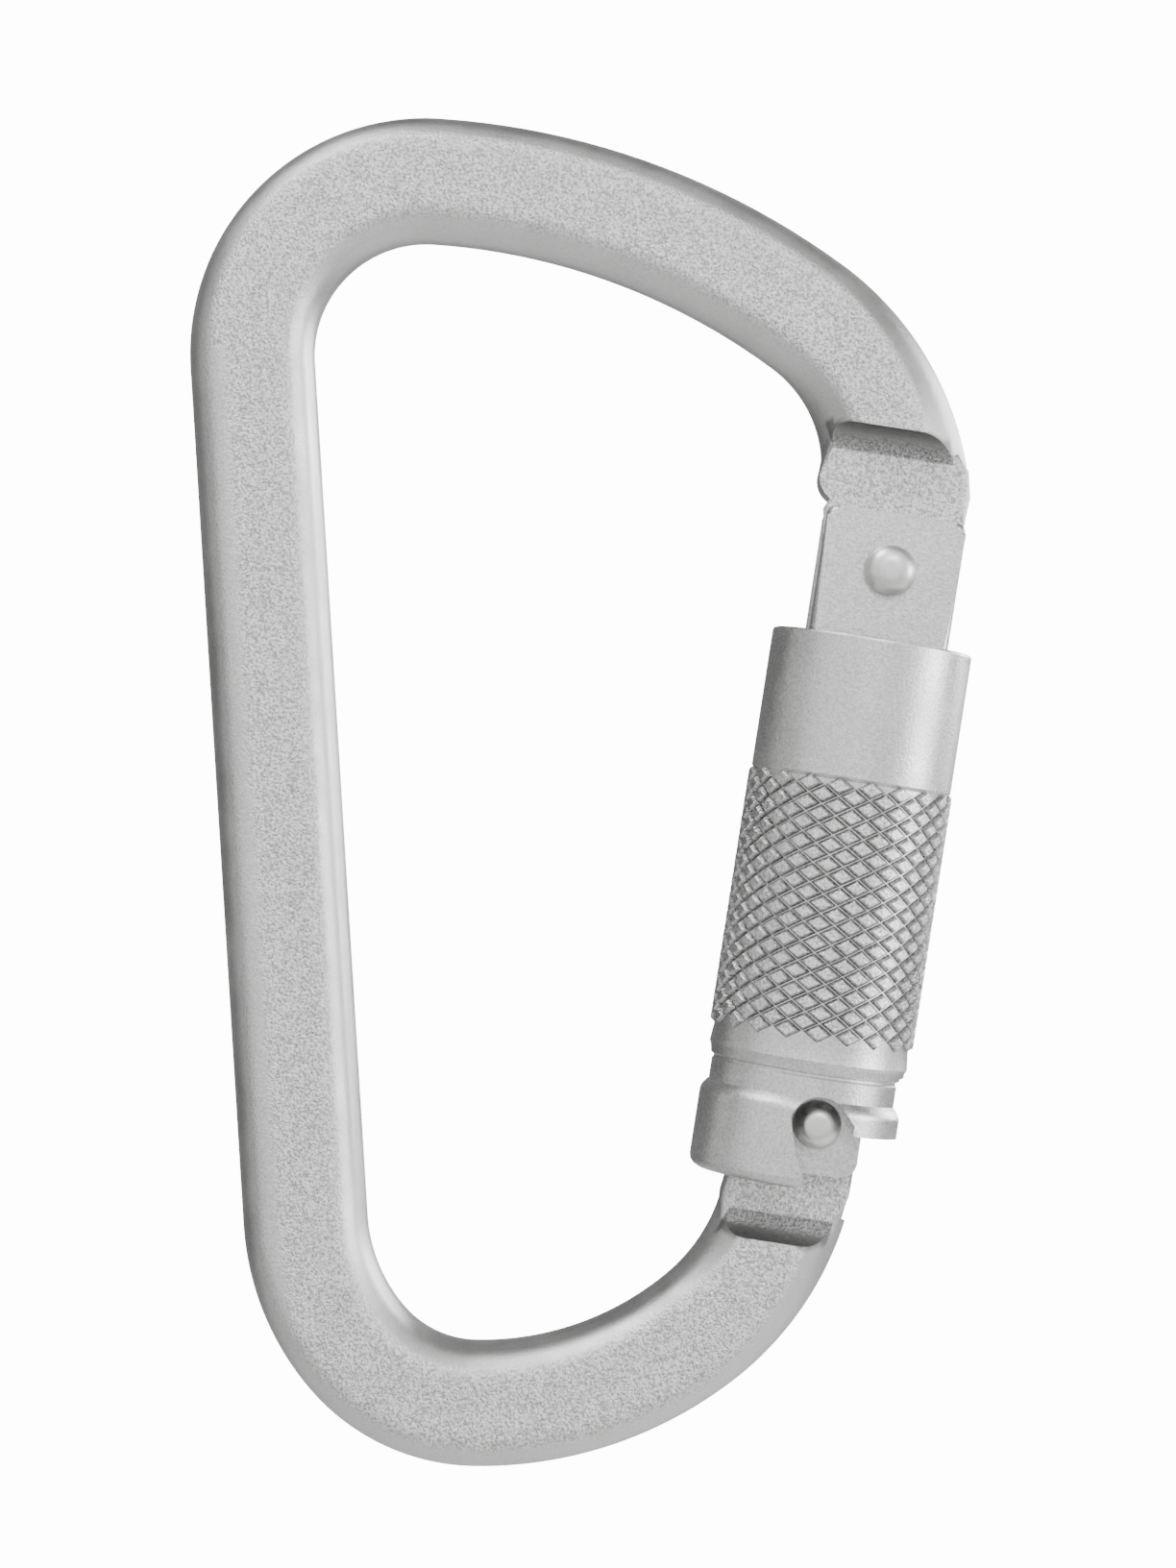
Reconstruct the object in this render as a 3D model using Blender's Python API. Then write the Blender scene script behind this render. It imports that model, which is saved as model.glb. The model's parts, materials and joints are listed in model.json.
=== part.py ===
# Offset-D steel connector with an automatic locking sleeve.
# World frame: +Z runs up the spine, +X points from the spine to the gate, the front faces -Y.
# The origin is the inner crown of the upper bow, at mid thickness, where an anchor carries the connector.
# Sizes below are millimetres.

import math

import bmesh
import bpy
from mathutils import Matrix, Vector

MM = 0.001

# Frame bar: a forged bar bent into tangent arcs.
BAR_HALF_WIDTH = 5.15
BAR_HALF_THICK = 4.7
FACE_SHARE = 0.58  # flat front face, as a share of the half width
BEVEL_WIDTH_SHARE = 0.88
BEVEL_DEPTH_SHARE = 0.72
SIDE_DEPTH_SHARE = 0.28
END_FLAT_SHARE = 0.42  # the same shares at the bar's two ends, where it is rounder
END_BEVEL_WIDTH_SHARE = 0.78
END_BEVEL_DEPTH_SHARE = 0.54
END_SIDE_DEPTH_SHARE = 0.14
SPINE_LENGTH = 71.25
FLOOR_RADIUS = 29.2
FLOOR_TO_SPINE = 4.6  # degrees
FLOOR_TO_NOSE = 35.5
CORNER_RADIUS = 13.2
CORNER_ANGLE = 48.3
FLANK_RADIUS = 18.0
NOSE_BEND_RADIUS = 20.3
NOSE_STRAIGHT = 1.4
CROWN_RADIUS = 14.4
CROWN_ANGLE = 97.3
RUN_RADIUS = 58.5
RUN_ANGLE = 32.6
SHOULDER_RADIUS = 17.6
STATION_ANGLE = 9.0

# Milled tongues at the two ends of the bar.
TONGUE_HALF_THICK = 2.4
TONGUE_OVERLAP = 4.0
HINGE_INNER_WIDTH = 6.55
HINGE_OUTER_WIDTH = 6.1
HINGE_SWELL = (6.1, 6.15)  # half widths of the bar's end, inner and outer
NOSE_INNER_WIDTH = 5.4
NOSE_OUTER_WIDTH = 5.05
NOSE_SWELL = (5.3, 5.35)
HINGE_STEP = 9.3  # from the hinge pin up to the milled step
NOSE_STEP = 7.8  # from the latch pin down to the milled step

# Pins, measured from the bar's two path ends along the gate.
HINGE_SET_BACK = 4.4
LATCH_SET_BACK = 3.2
HINGE_OFFSET = 0.25  # outward from the gate axis
LATCH_OFFSET = 1.3
HINGE_PIN_RADIUS = 1.8
LATCH_PIN_RADIUS = 1.6
HINGE_HEAD_RADIUS = HINGE_PIN_RADIUS + 0.35
HINGE_HEAD_HEIGHT = 1.6
LATCH_HEAD_RADIUS = LATCH_PIN_RADIUS + 0.4
LATCH_HEAD_HEIGHT = 2.25
HEAD_FLAT_SHARE = 0.35
HEAD_RIM = 0.25
PIN_CLEARANCE = 0.12
SEAT_CLEARANCE = 0.05

# Hinge lug with its cam, and the nose hook.
CAM_RADIUS = 5.2
CAM_RISE = 1.4  # per radian of gate swing
CAM_REACH = 38.0
CAM_TAIL = 24.0
LUG_FLANK = 4.9
LUG_SHOULDER = 2.1
LUG_ROOT = 1.2  # above the step, inside the bar
LUG_SHOULDER_RISE = 2.4  # above the fork's top
HOOK_CLEARANCE = 0.25
HOOK_TOP = 3.8  # above the latch pin's axis
HOOK_REACH = 1.8  # inward past the latch pin's axis

# Gate.
GATE_HALF_THICK = 4.4
HINGE_FORK_TOP = 4.7
LATCH_FORK_WIDTH = 5.1
LATCH_FORK_END = 4.1
HINGE_CORNER = 0.9
LATCH_CORNER = 1.3
FORK_EDGE = 0.5
SLOT_CLEARANCE = 0.2
HOOK_HEADROOM = 0.4
COLLAR_LENGTH = 2.0
COLLAR_BELOW_EDGE = 0.8
HINGE_SLOT_DEPTH = CAM_RADIUS + CAM_RISE * math.radians(CAM_REACH) + 0.67

# Locking sleeve.
SLEEVE_EDGE = 5.8  # hinge pin to the sleeve's upper edge
PLAIN_BAND = 11.6
NECK_BORE = math.hypot(LATCH_FORK_WIDTH, GATE_HALF_THICK - FORK_EDGE) + 0.43  # round the fork
NECK_RADIUS = NECK_BORE + 1.05
SLEEVE_BORE = NECK_BORE + 0.55  # the washer's seat
BAND_RADIUS = SLEEVE_BORE + 0.95
KNURL_RADIUS = BAND_RADIUS + 0.2
HEAD_TOP = GATE_HALF_THICK + SEAT_CLEARANCE + LATCH_HEAD_HEIGHT
SKIRT_BORE = math.hypot(LATCH_OFFSET + HEAD_FLAT_SHARE * LATCH_HEAD_RADIUS, HEAD_TOP) + 0.66
SKIRT_RADIUS = SKIRT_BORE + 0.85
NECK_ABOVE_PIN = 4.1
SKIRT_ABOVE_PIN = 1.7
SHOULDER_RISE = 0.7
SHORT_WALL_BELOW_PIN = 0.35
LOBE_BELOW_PIN = 5.15
LOBE_FAR_ANGLE = 215.0
LOBE_TOE = 0.8
POCKET_RADIUS = LATCH_HEAD_RADIUS + 0.5
POCKET_SIDE = POCKET_RADIUS + 0.37
LOBE_EDGE_INWARD = 2.15
SLEEVE_SLOT_HALF = TONGUE_HALF_THICK + 0.25
SLEEVE_SLOT_ABOVE_PIN = HOOK_TOP + 0.8
SLEEVE_SLOT_START = 4.5  # outward from the gate axis
SLEEVE_SIDES = 48
CUT_REACH = 1.4 * KNURL_RADIUS

# Springs, washer and plunger, and what of the gate runs in the sleeve.
SPRING_WIRE = 0.4  # wire radius
SPRING_SIDE_GAP = 0.3
SPRING_RADIUS = SLEEVE_BORE - SPRING_SIDE_GAP - SPRING_WIRE
SPRING_TURNS = 7
BARREL_RADIUS = SPRING_RADIUS - SPRING_WIRE - SPRING_SIDE_GAP
COLLAR_RADIUS = SLEEVE_BORE - 0.25
FORK_IN_BORE = 0.24
HINGE_FORK_WIDTH = math.sqrt((SLEEVE_BORE - FORK_IN_BORE) ** 2 - (GATE_HALF_THICK - FORK_EDGE) ** 2)
HINGE_FORK_WIDTH -= HINGE_OFFSET
WASHER_INNER = BARREL_RADIUS + 0.2
WASHER_OUTER = SLEEVE_BORE - 0.25
WASHER_THICK = 0.8
PART_GAP = 0.15
PLUNGER_RADIUS = 1.5
PLUNGER_LENGTH = 4.6
BORE_CLEARANCE = 0.2
PLUNGER_GAP = 0.25
GATE_SPRING_WIRE = 0.25
GATE_SPRING_RADIUS = PLUNGER_RADIUS - GATE_SPRING_WIRE - 0.15
GATE_SPRING_LENGTH = 5.3
GATE_SPRING_TURNS = 6
GATE_SPRING_SEAT = 0.8

STEEL = (0.60, 0.60, 0.59)
BRIGHT_STEEL = (0.70, 0.70, 0.69)
SPRING_STEEL = (0.42, 0.42, 0.43)


def clear_scene():
    for old in list(bpy.data.objects):
        bpy.data.objects.remove(old)


def steel(name, colour, roughness):
    mat = bpy.data.materials.new(name)
    mat.use_nodes = True
    shader = mat.node_tree.nodes["Principled BSDF"]
    shader.inputs["Base Color"].default_value = (*colour, 1)
    shader.inputs["Roughness"].default_value = roughness
    shader.inputs["Metallic"].default_value = 1.0
    return mat


def place(name, bm, parent=None, mat=None, smooth=True):
    """Makes an object of a bmesh whose points are millimetres."""
    bmesh.ops.scale(bm, vec=(MM, MM, MM), verts=bm.verts)
    bmesh.ops.recalc_face_normals(bm, faces=bm.faces)
    mesh = bpy.data.meshes.new(name)
    bm.to_mesh(mesh)
    bm.free()
    if smooth:
        mesh.shade_smooth()
        mesh.set_sharp_from_angle(angle=math.radians(30))
    obj = bpy.data.objects.new(name, mesh)
    bpy.context.scene.collection.objects.link(obj)
    obj.parent = parent
    if mat:
        mesh.materials.append(mat)
    return obj


def helper(name, bm, parent=None):
    obj = place(name, bm, parent, smooth=False)
    obj.hide_render = True
    obj.display_type = "WIRE"
    return obj


def combine(target, other, operation):
    modifier = target.modifiers.new(f"{operation.lower()}_{other.name}", "BOOLEAN")
    modifier.operation = operation
    modifier.solver = "EXACT"
    modifier.object = other


def prism(outline, low, high):
    """A closed outline of (v, u) points, carried along Y from low to high."""
    bm = bmesh.new()
    rings = [[bm.verts.new((v, y, u)) for v, u in outline] for y in (low, high)]
    bm.faces.new(rings[0])
    bm.faces.new(list(reversed(rings[1])))
    for i in range(len(outline)):
        j = (i + 1) % len(outline)
        bm.faces.new((rings[0][i], rings[0][j], rings[1][j], rings[1][i]))
    return bm


def turned(profile, sides, closed=False):
    """A profile of (radius, height) points turned about Z; a radius of 0 closes the shape."""
    bm = bmesh.new()
    rings = []
    for radius, height in profile:
        if radius == 0:
            rings.append([bm.verts.new((0, 0, height))])
            continue
        angles = [math.tau * i / sides for i in range(sides)]
        ring = [bm.verts.new((radius * math.cos(a), radius * math.sin(a), height)) for a in angles]
        rings.append(ring)
    pairs = list(zip(rings, rings[1:]))
    if closed:
        pairs.append((rings[-1], rings[0]))
    for upper, lower in pairs:
        for i in range(sides):
            j = (i + 1) % sides
            corners = [upper[i % len(upper)], upper[j % len(upper)]]
            corners += [lower[j % len(lower)], lower[i % len(lower)]]
            bm.faces.new(list(dict.fromkeys(corners)))
    return bm


def arc_points(centre, radius, start, end, steps):
    """Points on an arc, in degrees measured from +v towards +u."""
    points = []
    for i in range(steps + 1):
        angle = math.radians(start + (end - start) * i / steps)
        points.append((centre[0] + radius * math.cos(angle), centre[1] + radius * math.sin(angle)))
    return points


def walk(point, heading, turn_side, runs):
    """Stations (x, z, heading) along straight runs and arcs; turn_side is 1 for left, -1 for right."""
    stations = [(point[0], point[1], heading)]
    x, z = point
    for kind, size, angle in runs:
        if kind == "straight":
            x += size * math.cos(heading)
            z += size * math.sin(heading)
            stations.append((x, z, heading))
            continue
        centre_x = x - turn_side * size * math.sin(heading)
        centre_z = z + turn_side * size * math.cos(heading)
        steps = max(2, math.ceil(angle / STATION_ANGLE))
        for i in range(1, steps + 1):
            now = heading + turn_side * math.radians(angle) * i / steps
            x = centre_x + turn_side * size * math.sin(now)
            z = centre_z - turn_side * size * math.cos(now)
            stations.append((x, z, now))
        heading = stations[-1][2]
    return stations


def lower_crown():
    """The lowest point of the bar's centre line, measured from the upper bow's inner crown."""
    floor = math.radians(FLOOR_TO_SPINE)
    corner = floor + math.radians(CORNER_ANGLE)
    across = FLOOR_RADIUS * math.sin(floor) + CORNER_RADIUS * (math.sin(corner) - math.sin(floor))
    across += FLANK_RADIUS * (1 - math.sin(corner))
    rise = FLOOR_RADIUS * (1 - math.cos(floor)) + CORNER_RADIUS * (math.cos(floor) - math.cos(corner))
    rise += FLANK_RADIUS * math.cos(corner)
    return across - CROWN_RADIUS, BAR_HALF_WIDTH - rise - SPINE_LENGTH - CROWN_RADIUS


def bar_halves(tilt, short=0.0):
    """The bar from the lower crown to the nose, and from it round the spine to the hinge."""
    start = lower_crown()
    bend_short = max(0.0, short - NOSE_STRAIGHT)
    nose_turn = 90 - tilt - FLOOR_TO_NOSE - math.degrees(bend_short / NOSE_BEND_RADIUS)
    hinge_turn = 180 + tilt - CROWN_ANGLE - RUN_ANGLE - math.degrees(short / SHOULDER_RADIUS)
    nose_runs = [("arc", FLOOR_RADIUS, FLOOR_TO_NOSE), ("arc", NOSE_BEND_RADIUS, nose_turn)]
    if short < NOSE_STRAIGHT:
        nose_runs.append(("straight", NOSE_STRAIGHT - short, 0))
    spine_runs = [
        ("arc", FLOOR_RADIUS, FLOOR_TO_SPINE),
        ("arc", CORNER_RADIUS, CORNER_ANGLE),
        ("arc", FLANK_RADIUS, 90 - FLOOR_TO_SPINE - CORNER_ANGLE),
        ("straight", SPINE_LENGTH, 0),
        ("arc", CROWN_RADIUS, CROWN_ANGLE),
        ("arc", RUN_RADIUS, RUN_ANGLE),
        ("arc", SHOULDER_RADIUS, hinge_turn),
    ]
    return walk(start, 0.0, 1, nose_runs), walk(start, math.pi, -1, spine_runs)


def solve_gate():
    """The tilt at which both bar ends point along the line that joins them, and those ends."""
    tilt = 10.0
    for _ in range(40):
        nose, hinge = bar_halves(tilt)
        across = hinge[-1][0] - nose[-1][0]
        up = hinge[-1][1] - nose[-1][1]
        tilt = math.degrees(math.atan2(across, up))
    return math.radians(tilt), Vector(nose[-1][:2]), Vector(hinge[-1][:2])


TILT, NOSE_END, HINGE_END = solve_gate()
GATE_DIRECTION = Vector((math.sin(TILT), math.cos(TILT)))
HINGE_LEVEL = HINGE_END - GATE_DIRECTION * HINGE_SET_BACK
PIN_SPAN = (HINGE_END - NOSE_END).length - HINGE_SET_BACK - LATCH_SET_BACK
LATCH_U = -PIN_SPAN
SKIRT_U = LATCH_U + SKIRT_ABOVE_PIN
NECK_U = LATCH_U + NECK_ABOVE_PIN
SHOULDER_U = NECK_U + SHOULDER_RISE


def gate_axis_empty():
    """Its Z runs up the gate, its X points outward, and it stands level with the hinge pin."""
    empty = bpy.data.objects.new("gate_axis", None)
    bpy.context.scene.collection.objects.link(empty)
    empty.location = (HINGE_LEVEL.x * MM, 0, HINGE_LEVEL.y * MM)
    empty.rotation_euler = (0, TILT, 0)
    return empty


def section_ring(bm, station, share, inner, outer, side):
    """One twelve-sided ring across the bar; the inner side faces the opening."""
    x, z, heading = station
    normal = Vector((-math.sin(heading), math.cos(heading))) * side
    flat = FACE_SHARE + (END_FLAT_SHARE - FACE_SHARE) * share
    bevel_width = BEVEL_WIDTH_SHARE + (END_BEVEL_WIDTH_SHARE - BEVEL_WIDTH_SHARE) * share
    bevel_depth = BEVEL_DEPTH_SHARE + (END_BEVEL_DEPTH_SHARE - BEVEL_DEPTH_SHARE) * share
    side_depth = SIDE_DEPTH_SHARE + (END_SIDE_DEPTH_SHARE - SIDE_DEPTH_SHARE) * share
    shape = ((flat, 1.0), (bevel_width, bevel_depth), (1.0, side_depth))
    quarter = [(a, -b) for a, b in shape]
    inner_side = quarter + [(a, -b) for a, b in reversed(quarter)]
    outer_side = [(-a, -b) for a, b in inner_side]
    ring = []
    for across, depth in inner_side + outer_side:
        reach = across * (inner if across > 0 else outer)
        spot = (x + normal.x * reach, depth * BAR_HALF_THICK, z + normal.y * reach)
        ring.append(bm.verts.new(spot))
    return ring


def blend_widths(stations, bend_stations, inner_end, outer_end):
    """(station, share, inner, outer): the bar swells and rounds along its last bend."""
    plain = len(stations) - bend_stations
    rows = []
    for i, station in enumerate(stations):
        share = max(0.0, (i - plain + 1) / bend_stations)
        inner = BAR_HALF_WIDTH + (inner_end - BAR_HALF_WIDTH) * share**2
        outer = BAR_HALF_WIDTH + (outer_end - BAR_HALF_WIDTH) * share**2
        rows.append((station, share, inner, outer))
    return rows


def bar_mesh():
    nose, hinge = bar_halves(math.degrees(TILT), TONGUE_OVERLAP)
    nose_bend = sum(1 for s in nose if s[2] > math.radians(FLOOR_TO_NOSE) + 1e-6)
    last_turn = math.pi / 2 - math.radians(CROWN_ANGLE + RUN_ANGLE)
    hinge_bend = sum(1 for s in hinge if s[2] < last_turn - 1e-6)
    nose_rows = blend_widths(nose, nose_bend, *NOSE_SWELL)
    hinge_rows = blend_widths(hinge, hinge_bend, *HINGE_SWELL)
    bm = bmesh.new()
    rings = [section_ring(bm, *row, 1) for row in reversed(nose_rows)]
    rings += [section_ring(bm, *row, -1) for row in hinge_rows[1:]]
    for first, second in zip(rings, rings[1:]):
        for i in range(len(first)):
            j = (i + 1) % len(first)
            bm.faces.new((first[i], first[j], second[j], second[i]))
    bm.faces.new(rings[0])
    bm.faces.new(rings[-1])
    return bm


def step_cutter(edge_u, far_u):
    """Two prisms that mill the bar's faces down to the tongue, each ending in a concave step."""
    depth = BAR_HALF_THICK - TONGUE_HALF_THICK
    way = 1 if edge_u > far_u else -1
    profile = [(far_u, TONGUE_HALF_THICK)]
    for i in range(7):
        angle = math.radians(-90 + 90 * i / 6)
        profile.append((edge_u + way * depth * math.cos(angle), BAR_HALF_THICK + depth * math.sin(angle)))
    top = BAR_HALF_THICK + depth
    profile += [(edge_u + way * depth, top), (far_u, top)]
    half = 3 * BAR_HALF_WIDTH
    bm = bmesh.new()
    for side in (-1, 1):
        rings = [[bm.verts.new((v, side * y, u)) for u, y in profile] for v in (-half, half)]
        bm.faces.new(rings[0])
        bm.faces.new(list(reversed(rings[1])))
        for i in range(len(profile)):
            j = (i + 1) % len(profile)
            bm.faces.new((rings[0][i], rings[1][i], rings[1][j], rings[0][j]))
    return bm


def lug_outline():
    """Hinge tongue: shoulder, inner flank, cam under the pin, outer flank."""
    root_u = HINGE_STEP + LUG_ROOT
    shoulder_u = HINGE_FORK_TOP + LUG_SHOULDER_RISE
    outline = [(-HINGE_INNER_WIDTH + 0.15, root_u), (-HINGE_INNER_WIDTH, shoulder_u)]
    outline += arc_points((-HINGE_INNER_WIDTH + LUG_SHOULDER, shoulder_u), LUG_SHOULDER, 200, 250, 3)
    outline += [(-LUG_FLANK, HINGE_FORK_TOP - 0.1), (-LUG_FLANK, -0.4 * CAM_RADIUS)]
    for i in range(9):
        swing = math.radians(CAM_REACH - (CAM_REACH + CAM_TAIL) * i / 8)
        radius = CAM_RADIUS + CAM_RISE * max(0.0, swing)
        outline.append((HINGE_OFFSET - radius * math.sin(swing), -radius * math.cos(swing)))
    outline += [(HINGE_OUTER_WIDTH - 0.6, -1.5), (HINGE_OUTER_WIDTH - 0.2, HINGE_FORK_TOP)]
    outline += [(HINGE_OUTER_WIDTH, shoulder_u), (HINGE_OUTER_WIDTH - 0.45, root_u - 1.3)]
    outline += [(HINGE_OUTER_WIDTH - 1.5, root_u)]
    return outline


def nose_outline():
    """Latch tongue: the stem passes the pin on its outer side and hooks over it, open inward."""
    pin = (LATCH_OFFSET, LATCH_U)
    notch = LATCH_PIN_RADIUS + HOOK_CLEARANCE
    outer = NOSE_OUTER_WIDTH
    root_u = LATCH_U - NOSE_STEP - 3.4
    tip_v = LATCH_OFFSET - HOOK_REACH
    top_u = LATCH_U + HOOK_TOP
    outline = [(-NOSE_INNER_WIDTH + 0.2, root_u), (outer - 1.9, root_u)]
    outline += [(outer - 0.45, LATCH_U - 8.3), (outer - 0.05, LATCH_U - 5.6), (outer, LATCH_U - 2.0)]
    outline += [(outer, top_u - 1.1), (outer - 0.9, top_u), (tip_v + 0.7, top_u)]
    outline += [(tip_v, top_u - 0.7), (tip_v, LATCH_U + notch)]
    outline += arc_points(pin, notch, 90, -90, 12)
    outline += [(LATCH_OFFSET - 2.6, LATCH_U - notch - 0.1), (-4.4, LATCH_U - 3.6)]
    outline += [(-NOSE_INNER_WIDTH + 0.2, LATCH_U - 4.9), (-NOSE_INNER_WIDTH - 0.1, LATCH_U - 7.0)]
    return outline


def pin_hole(name, v, u, radius, parent):
    bm = turned([(0, 20), (radius, 20), (radius, -20), (0, -20)], 24)
    bmesh.ops.rotate(bm, verts=bm.verts, matrix=Matrix.Rotation(math.pi / 2, 3, "X"))
    bmesh.ops.translate(bm, verts=bm.verts, vec=(v, 0, u))
    return helper(name, bm, parent)


def build_frame(axis, mat):
    frame = place("frame", bar_mesh(), mat=mat)
    hinge_cut = helper("hinge_step_cutter", step_cutter(HINGE_STEP, -12), axis)
    nose_cut = helper("nose_step_cutter", step_cutter(LATCH_U - NOSE_STEP, LATCH_U + 12), axis)
    lug = helper("hinge_lug", prism(lug_outline(), -TONGUE_HALF_THICK, TONGUE_HALF_THICK), axis)
    nose = helper("nose_hook", prism(nose_outline(), -TONGUE_HALF_THICK, TONGUE_HALF_THICK), axis)
    hole = pin_hole("lug_hole", HINGE_OFFSET, 0, HINGE_PIN_RADIUS + PIN_CLEARANCE, axis)
    combine(frame, hinge_cut, "DIFFERENCE")
    combine(frame, nose_cut, "DIFFERENCE")
    combine(frame, lug, "UNION")
    combine(frame, nose, "UNION")
    combine(frame, hole, "DIFFERENCE")


def fork_block(half_width, low, high, corner, rounded_low):
    """A block with rounded free corners and bevelled front and back edges."""
    outline = []
    if rounded_low:
        outline += arc_points((-half_width + corner, low + corner), corner, 180, 270, 3)
        outline += arc_points((half_width - corner, low + corner), corner, 270, 360, 3)
        outline += [(half_width, high), (-half_width, high)]
    else:
        outline += [(-half_width, low), (half_width, low)]
        outline += arc_points((half_width - corner, high - corner), corner, 0, 90, 3)
        outline += arc_points((-half_width + corner, high - corner), corner, 90, 180, 3)
    bm = prism(outline, -GATE_HALF_THICK, GATE_HALF_THICK)
    rims = [e for e in bm.edges if abs(e.verts[0].co.y - e.verts[1].co.y) < 1e-6]
    bmesh.ops.bevel(bm, geom=rims, offset=FORK_EDGE, segments=1, affect="EDGES")
    return bm


def slot_block(low, high, half_thick, reach):
    return prism([(-reach, low), (reach, low), (reach, high), (-reach, high)], -half_thick, half_thick)


def build_gate(axis, mat):
    collar_top = -SLEEVE_EDGE - COLLAR_BELOW_EDGE
    collar_end = collar_top - COLLAR_LENGTH
    barrel_end = SHOULDER_U - PART_GAP
    profile = [(0, collar_top), (COLLAR_RADIUS, collar_top), (COLLAR_RADIUS, collar_end)]
    profile += [(BARREL_RADIUS, collar_end), (BARREL_RADIUS, barrel_end - 1.5), (0, barrel_end - 1.5)]
    gate = place("gate_body", turned(profile, 40), axis, mat)
    top = fork_block(HINGE_FORK_WIDTH, collar_end + FORK_EDGE, HINGE_FORK_TOP, HINGE_CORNER, False)
    bmesh.ops.translate(top, verts=top.verts, vec=(HINGE_OFFSET, 0, 0))
    low = LATCH_U - LATCH_FORK_END
    end = fork_block(LATCH_FORK_WIDTH, low, barrel_end, LATCH_CORNER, True)
    slot = TONGUE_HALF_THICK + SLOT_CLEARANCE
    hinge_slot = slot_block(-HINGE_SLOT_DEPTH, HINGE_FORK_TOP + CUT_REACH, slot, CUT_REACH)
    latch_slot = slot_block(low - CUT_REACH, LATCH_U + HOOK_TOP + HOOK_HEADROOM, slot, CUT_REACH)
    bore_radius = PLUNGER_RADIUS + BORE_CLEARANCE
    bore_end = plunger_top() - PLUNGER_LENGTH - GATE_SPRING_LENGTH - GATE_SPRING_SEAT
    bore = turned([(0, 0), (bore_radius, 0), (bore_radius, bore_end), (0, bore_end)], 20)
    bmesh.ops.translate(bore, verts=bore.verts, vec=(HINGE_OFFSET, 0, 0))
    combine(gate, helper("hinge_fork_block", top, axis), "UNION")
    combine(gate, helper("latch_fork_block", end, axis), "UNION")
    combine(gate, helper("hinge_slot_cutter", hinge_slot, axis), "DIFFERENCE")
    combine(gate, helper("latch_slot_cutter", latch_slot, axis), "DIFFERENCE")
    combine(gate, helper("plunger_bore_cutter", bore, axis), "DIFFERENCE")
    hinge_hole = pin_hole("hinge_hole", HINGE_OFFSET, 0, HINGE_PIN_RADIUS + SEAT_CLEARANCE, axis)
    latch_hole = pin_hole("latch_hole", LATCH_OFFSET, LATCH_U, LATCH_PIN_RADIUS + SEAT_CLEARANCE, axis)
    combine(gate, hinge_hole, "DIFFERENCE")
    combine(gate, latch_hole, "DIFFERENCE")


def rivet_profile(pin_radius, head_radius, head_height):
    """Half of a rivet seen from its axis, front head to back head, with small flats on the domes."""
    seat = GATE_HALF_THICK + SEAT_CLEARANCE
    flat = HEAD_FLAT_SHARE * head_radius
    half = [(0, seat + head_height), (flat, seat + head_height)]
    for i in range(1, 5):
        angle = math.radians(22.5 * i)
        radius = flat + (head_radius - flat) * math.sin(angle)
        half.append((radius, seat + HEAD_RIM + (head_height - HEAD_RIM) * math.cos(angle)))
    half += [(head_radius, seat), (pin_radius, seat)]
    return half + [(radius, -height) for radius, height in reversed(half)]


def build_rivet(name, v, u, profile, axis, mat):
    bm = turned(profile, 24)
    bmesh.ops.rotate(bm, verts=bm.verts, matrix=Matrix.Rotation(math.pi / 2, 3, "X"))
    rivet = place(name, bm, axis, mat)
    rivet.location = (v * MM, 0, u * MM)


def sleeve_profile():
    """Outer wall from the upper edge down to the lobe's end, then the bore back up."""
    top = -SLEEVE_EDGE
    knurl_top = top - PLAIN_BAND
    lobe_end = LATCH_U - LOBE_BELOW_PIN
    outer = [(BAND_RADIUS - 0.25, top), (BAND_RADIUS, top - 0.25), (BAND_RADIUS, knurl_top)]
    outer += [(KNURL_RADIUS, knurl_top - 0.3), (KNURL_RADIUS, SHOULDER_U + 1.9)]
    outer += [(BAND_RADIUS, SHOULDER_U + 0.4), (NECK_RADIUS, NECK_U), (NECK_RADIUS, SKIRT_U + 0.9)]
    outer += [(SKIRT_RADIUS - 0.15, SKIRT_U), (SKIRT_RADIUS, SKIRT_U - 0.6)]
    outer += [(SKIRT_RADIUS, lobe_end + 0.9), (SKIRT_RADIUS - 0.35, lobe_end + 0.2)]
    outer += [(SKIRT_RADIUS - 0.75, lobe_end)]
    inner = [(SKIRT_BORE, lobe_end), (SKIRT_BORE, SKIRT_U - 0.6), (NECK_BORE, SKIRT_U + 0.9)]
    inner += [(NECK_BORE, SHOULDER_U), (SLEEVE_BORE, SHOULDER_U), (SLEEVE_BORE, top)]
    return outer + inner


def front_cut_outline():
    """Seen from the front: short outer wall, the pocket over the latch rivet, the lobe's slanted edge."""
    pin = (LATCH_OFFSET, LATCH_U)
    wall_end = LATCH_U - SHORT_WALL_BELOW_PIN
    pocket_side = LATCH_OFFSET + POCKET_SIDE
    below = LATCH_U - LOBE_BELOW_PIN - CUT_REACH
    outline = [(CUT_REACH, wall_end), (pocket_side, wall_end), (pocket_side, LATCH_U + 0.5)]
    outline += arc_points(pin, POCKET_RADIUS, 40, 165, 6)
    edge = LATCH_OFFSET - LOBE_EDGE_INWARD
    lobe_end = LATCH_U - LOBE_BELOW_PIN
    outline += [(edge, LATCH_U - 0.5), (edge + 0.45, LATCH_U - 2.2), (edge + 1.55, lobe_end + 0.75)]
    outline += [(edge + 1.35, lobe_end + 0.35), (edge + 0.65, lobe_end)]
    return outline + [(edge + 0.65, below), (CUT_REACH, below)]


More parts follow.
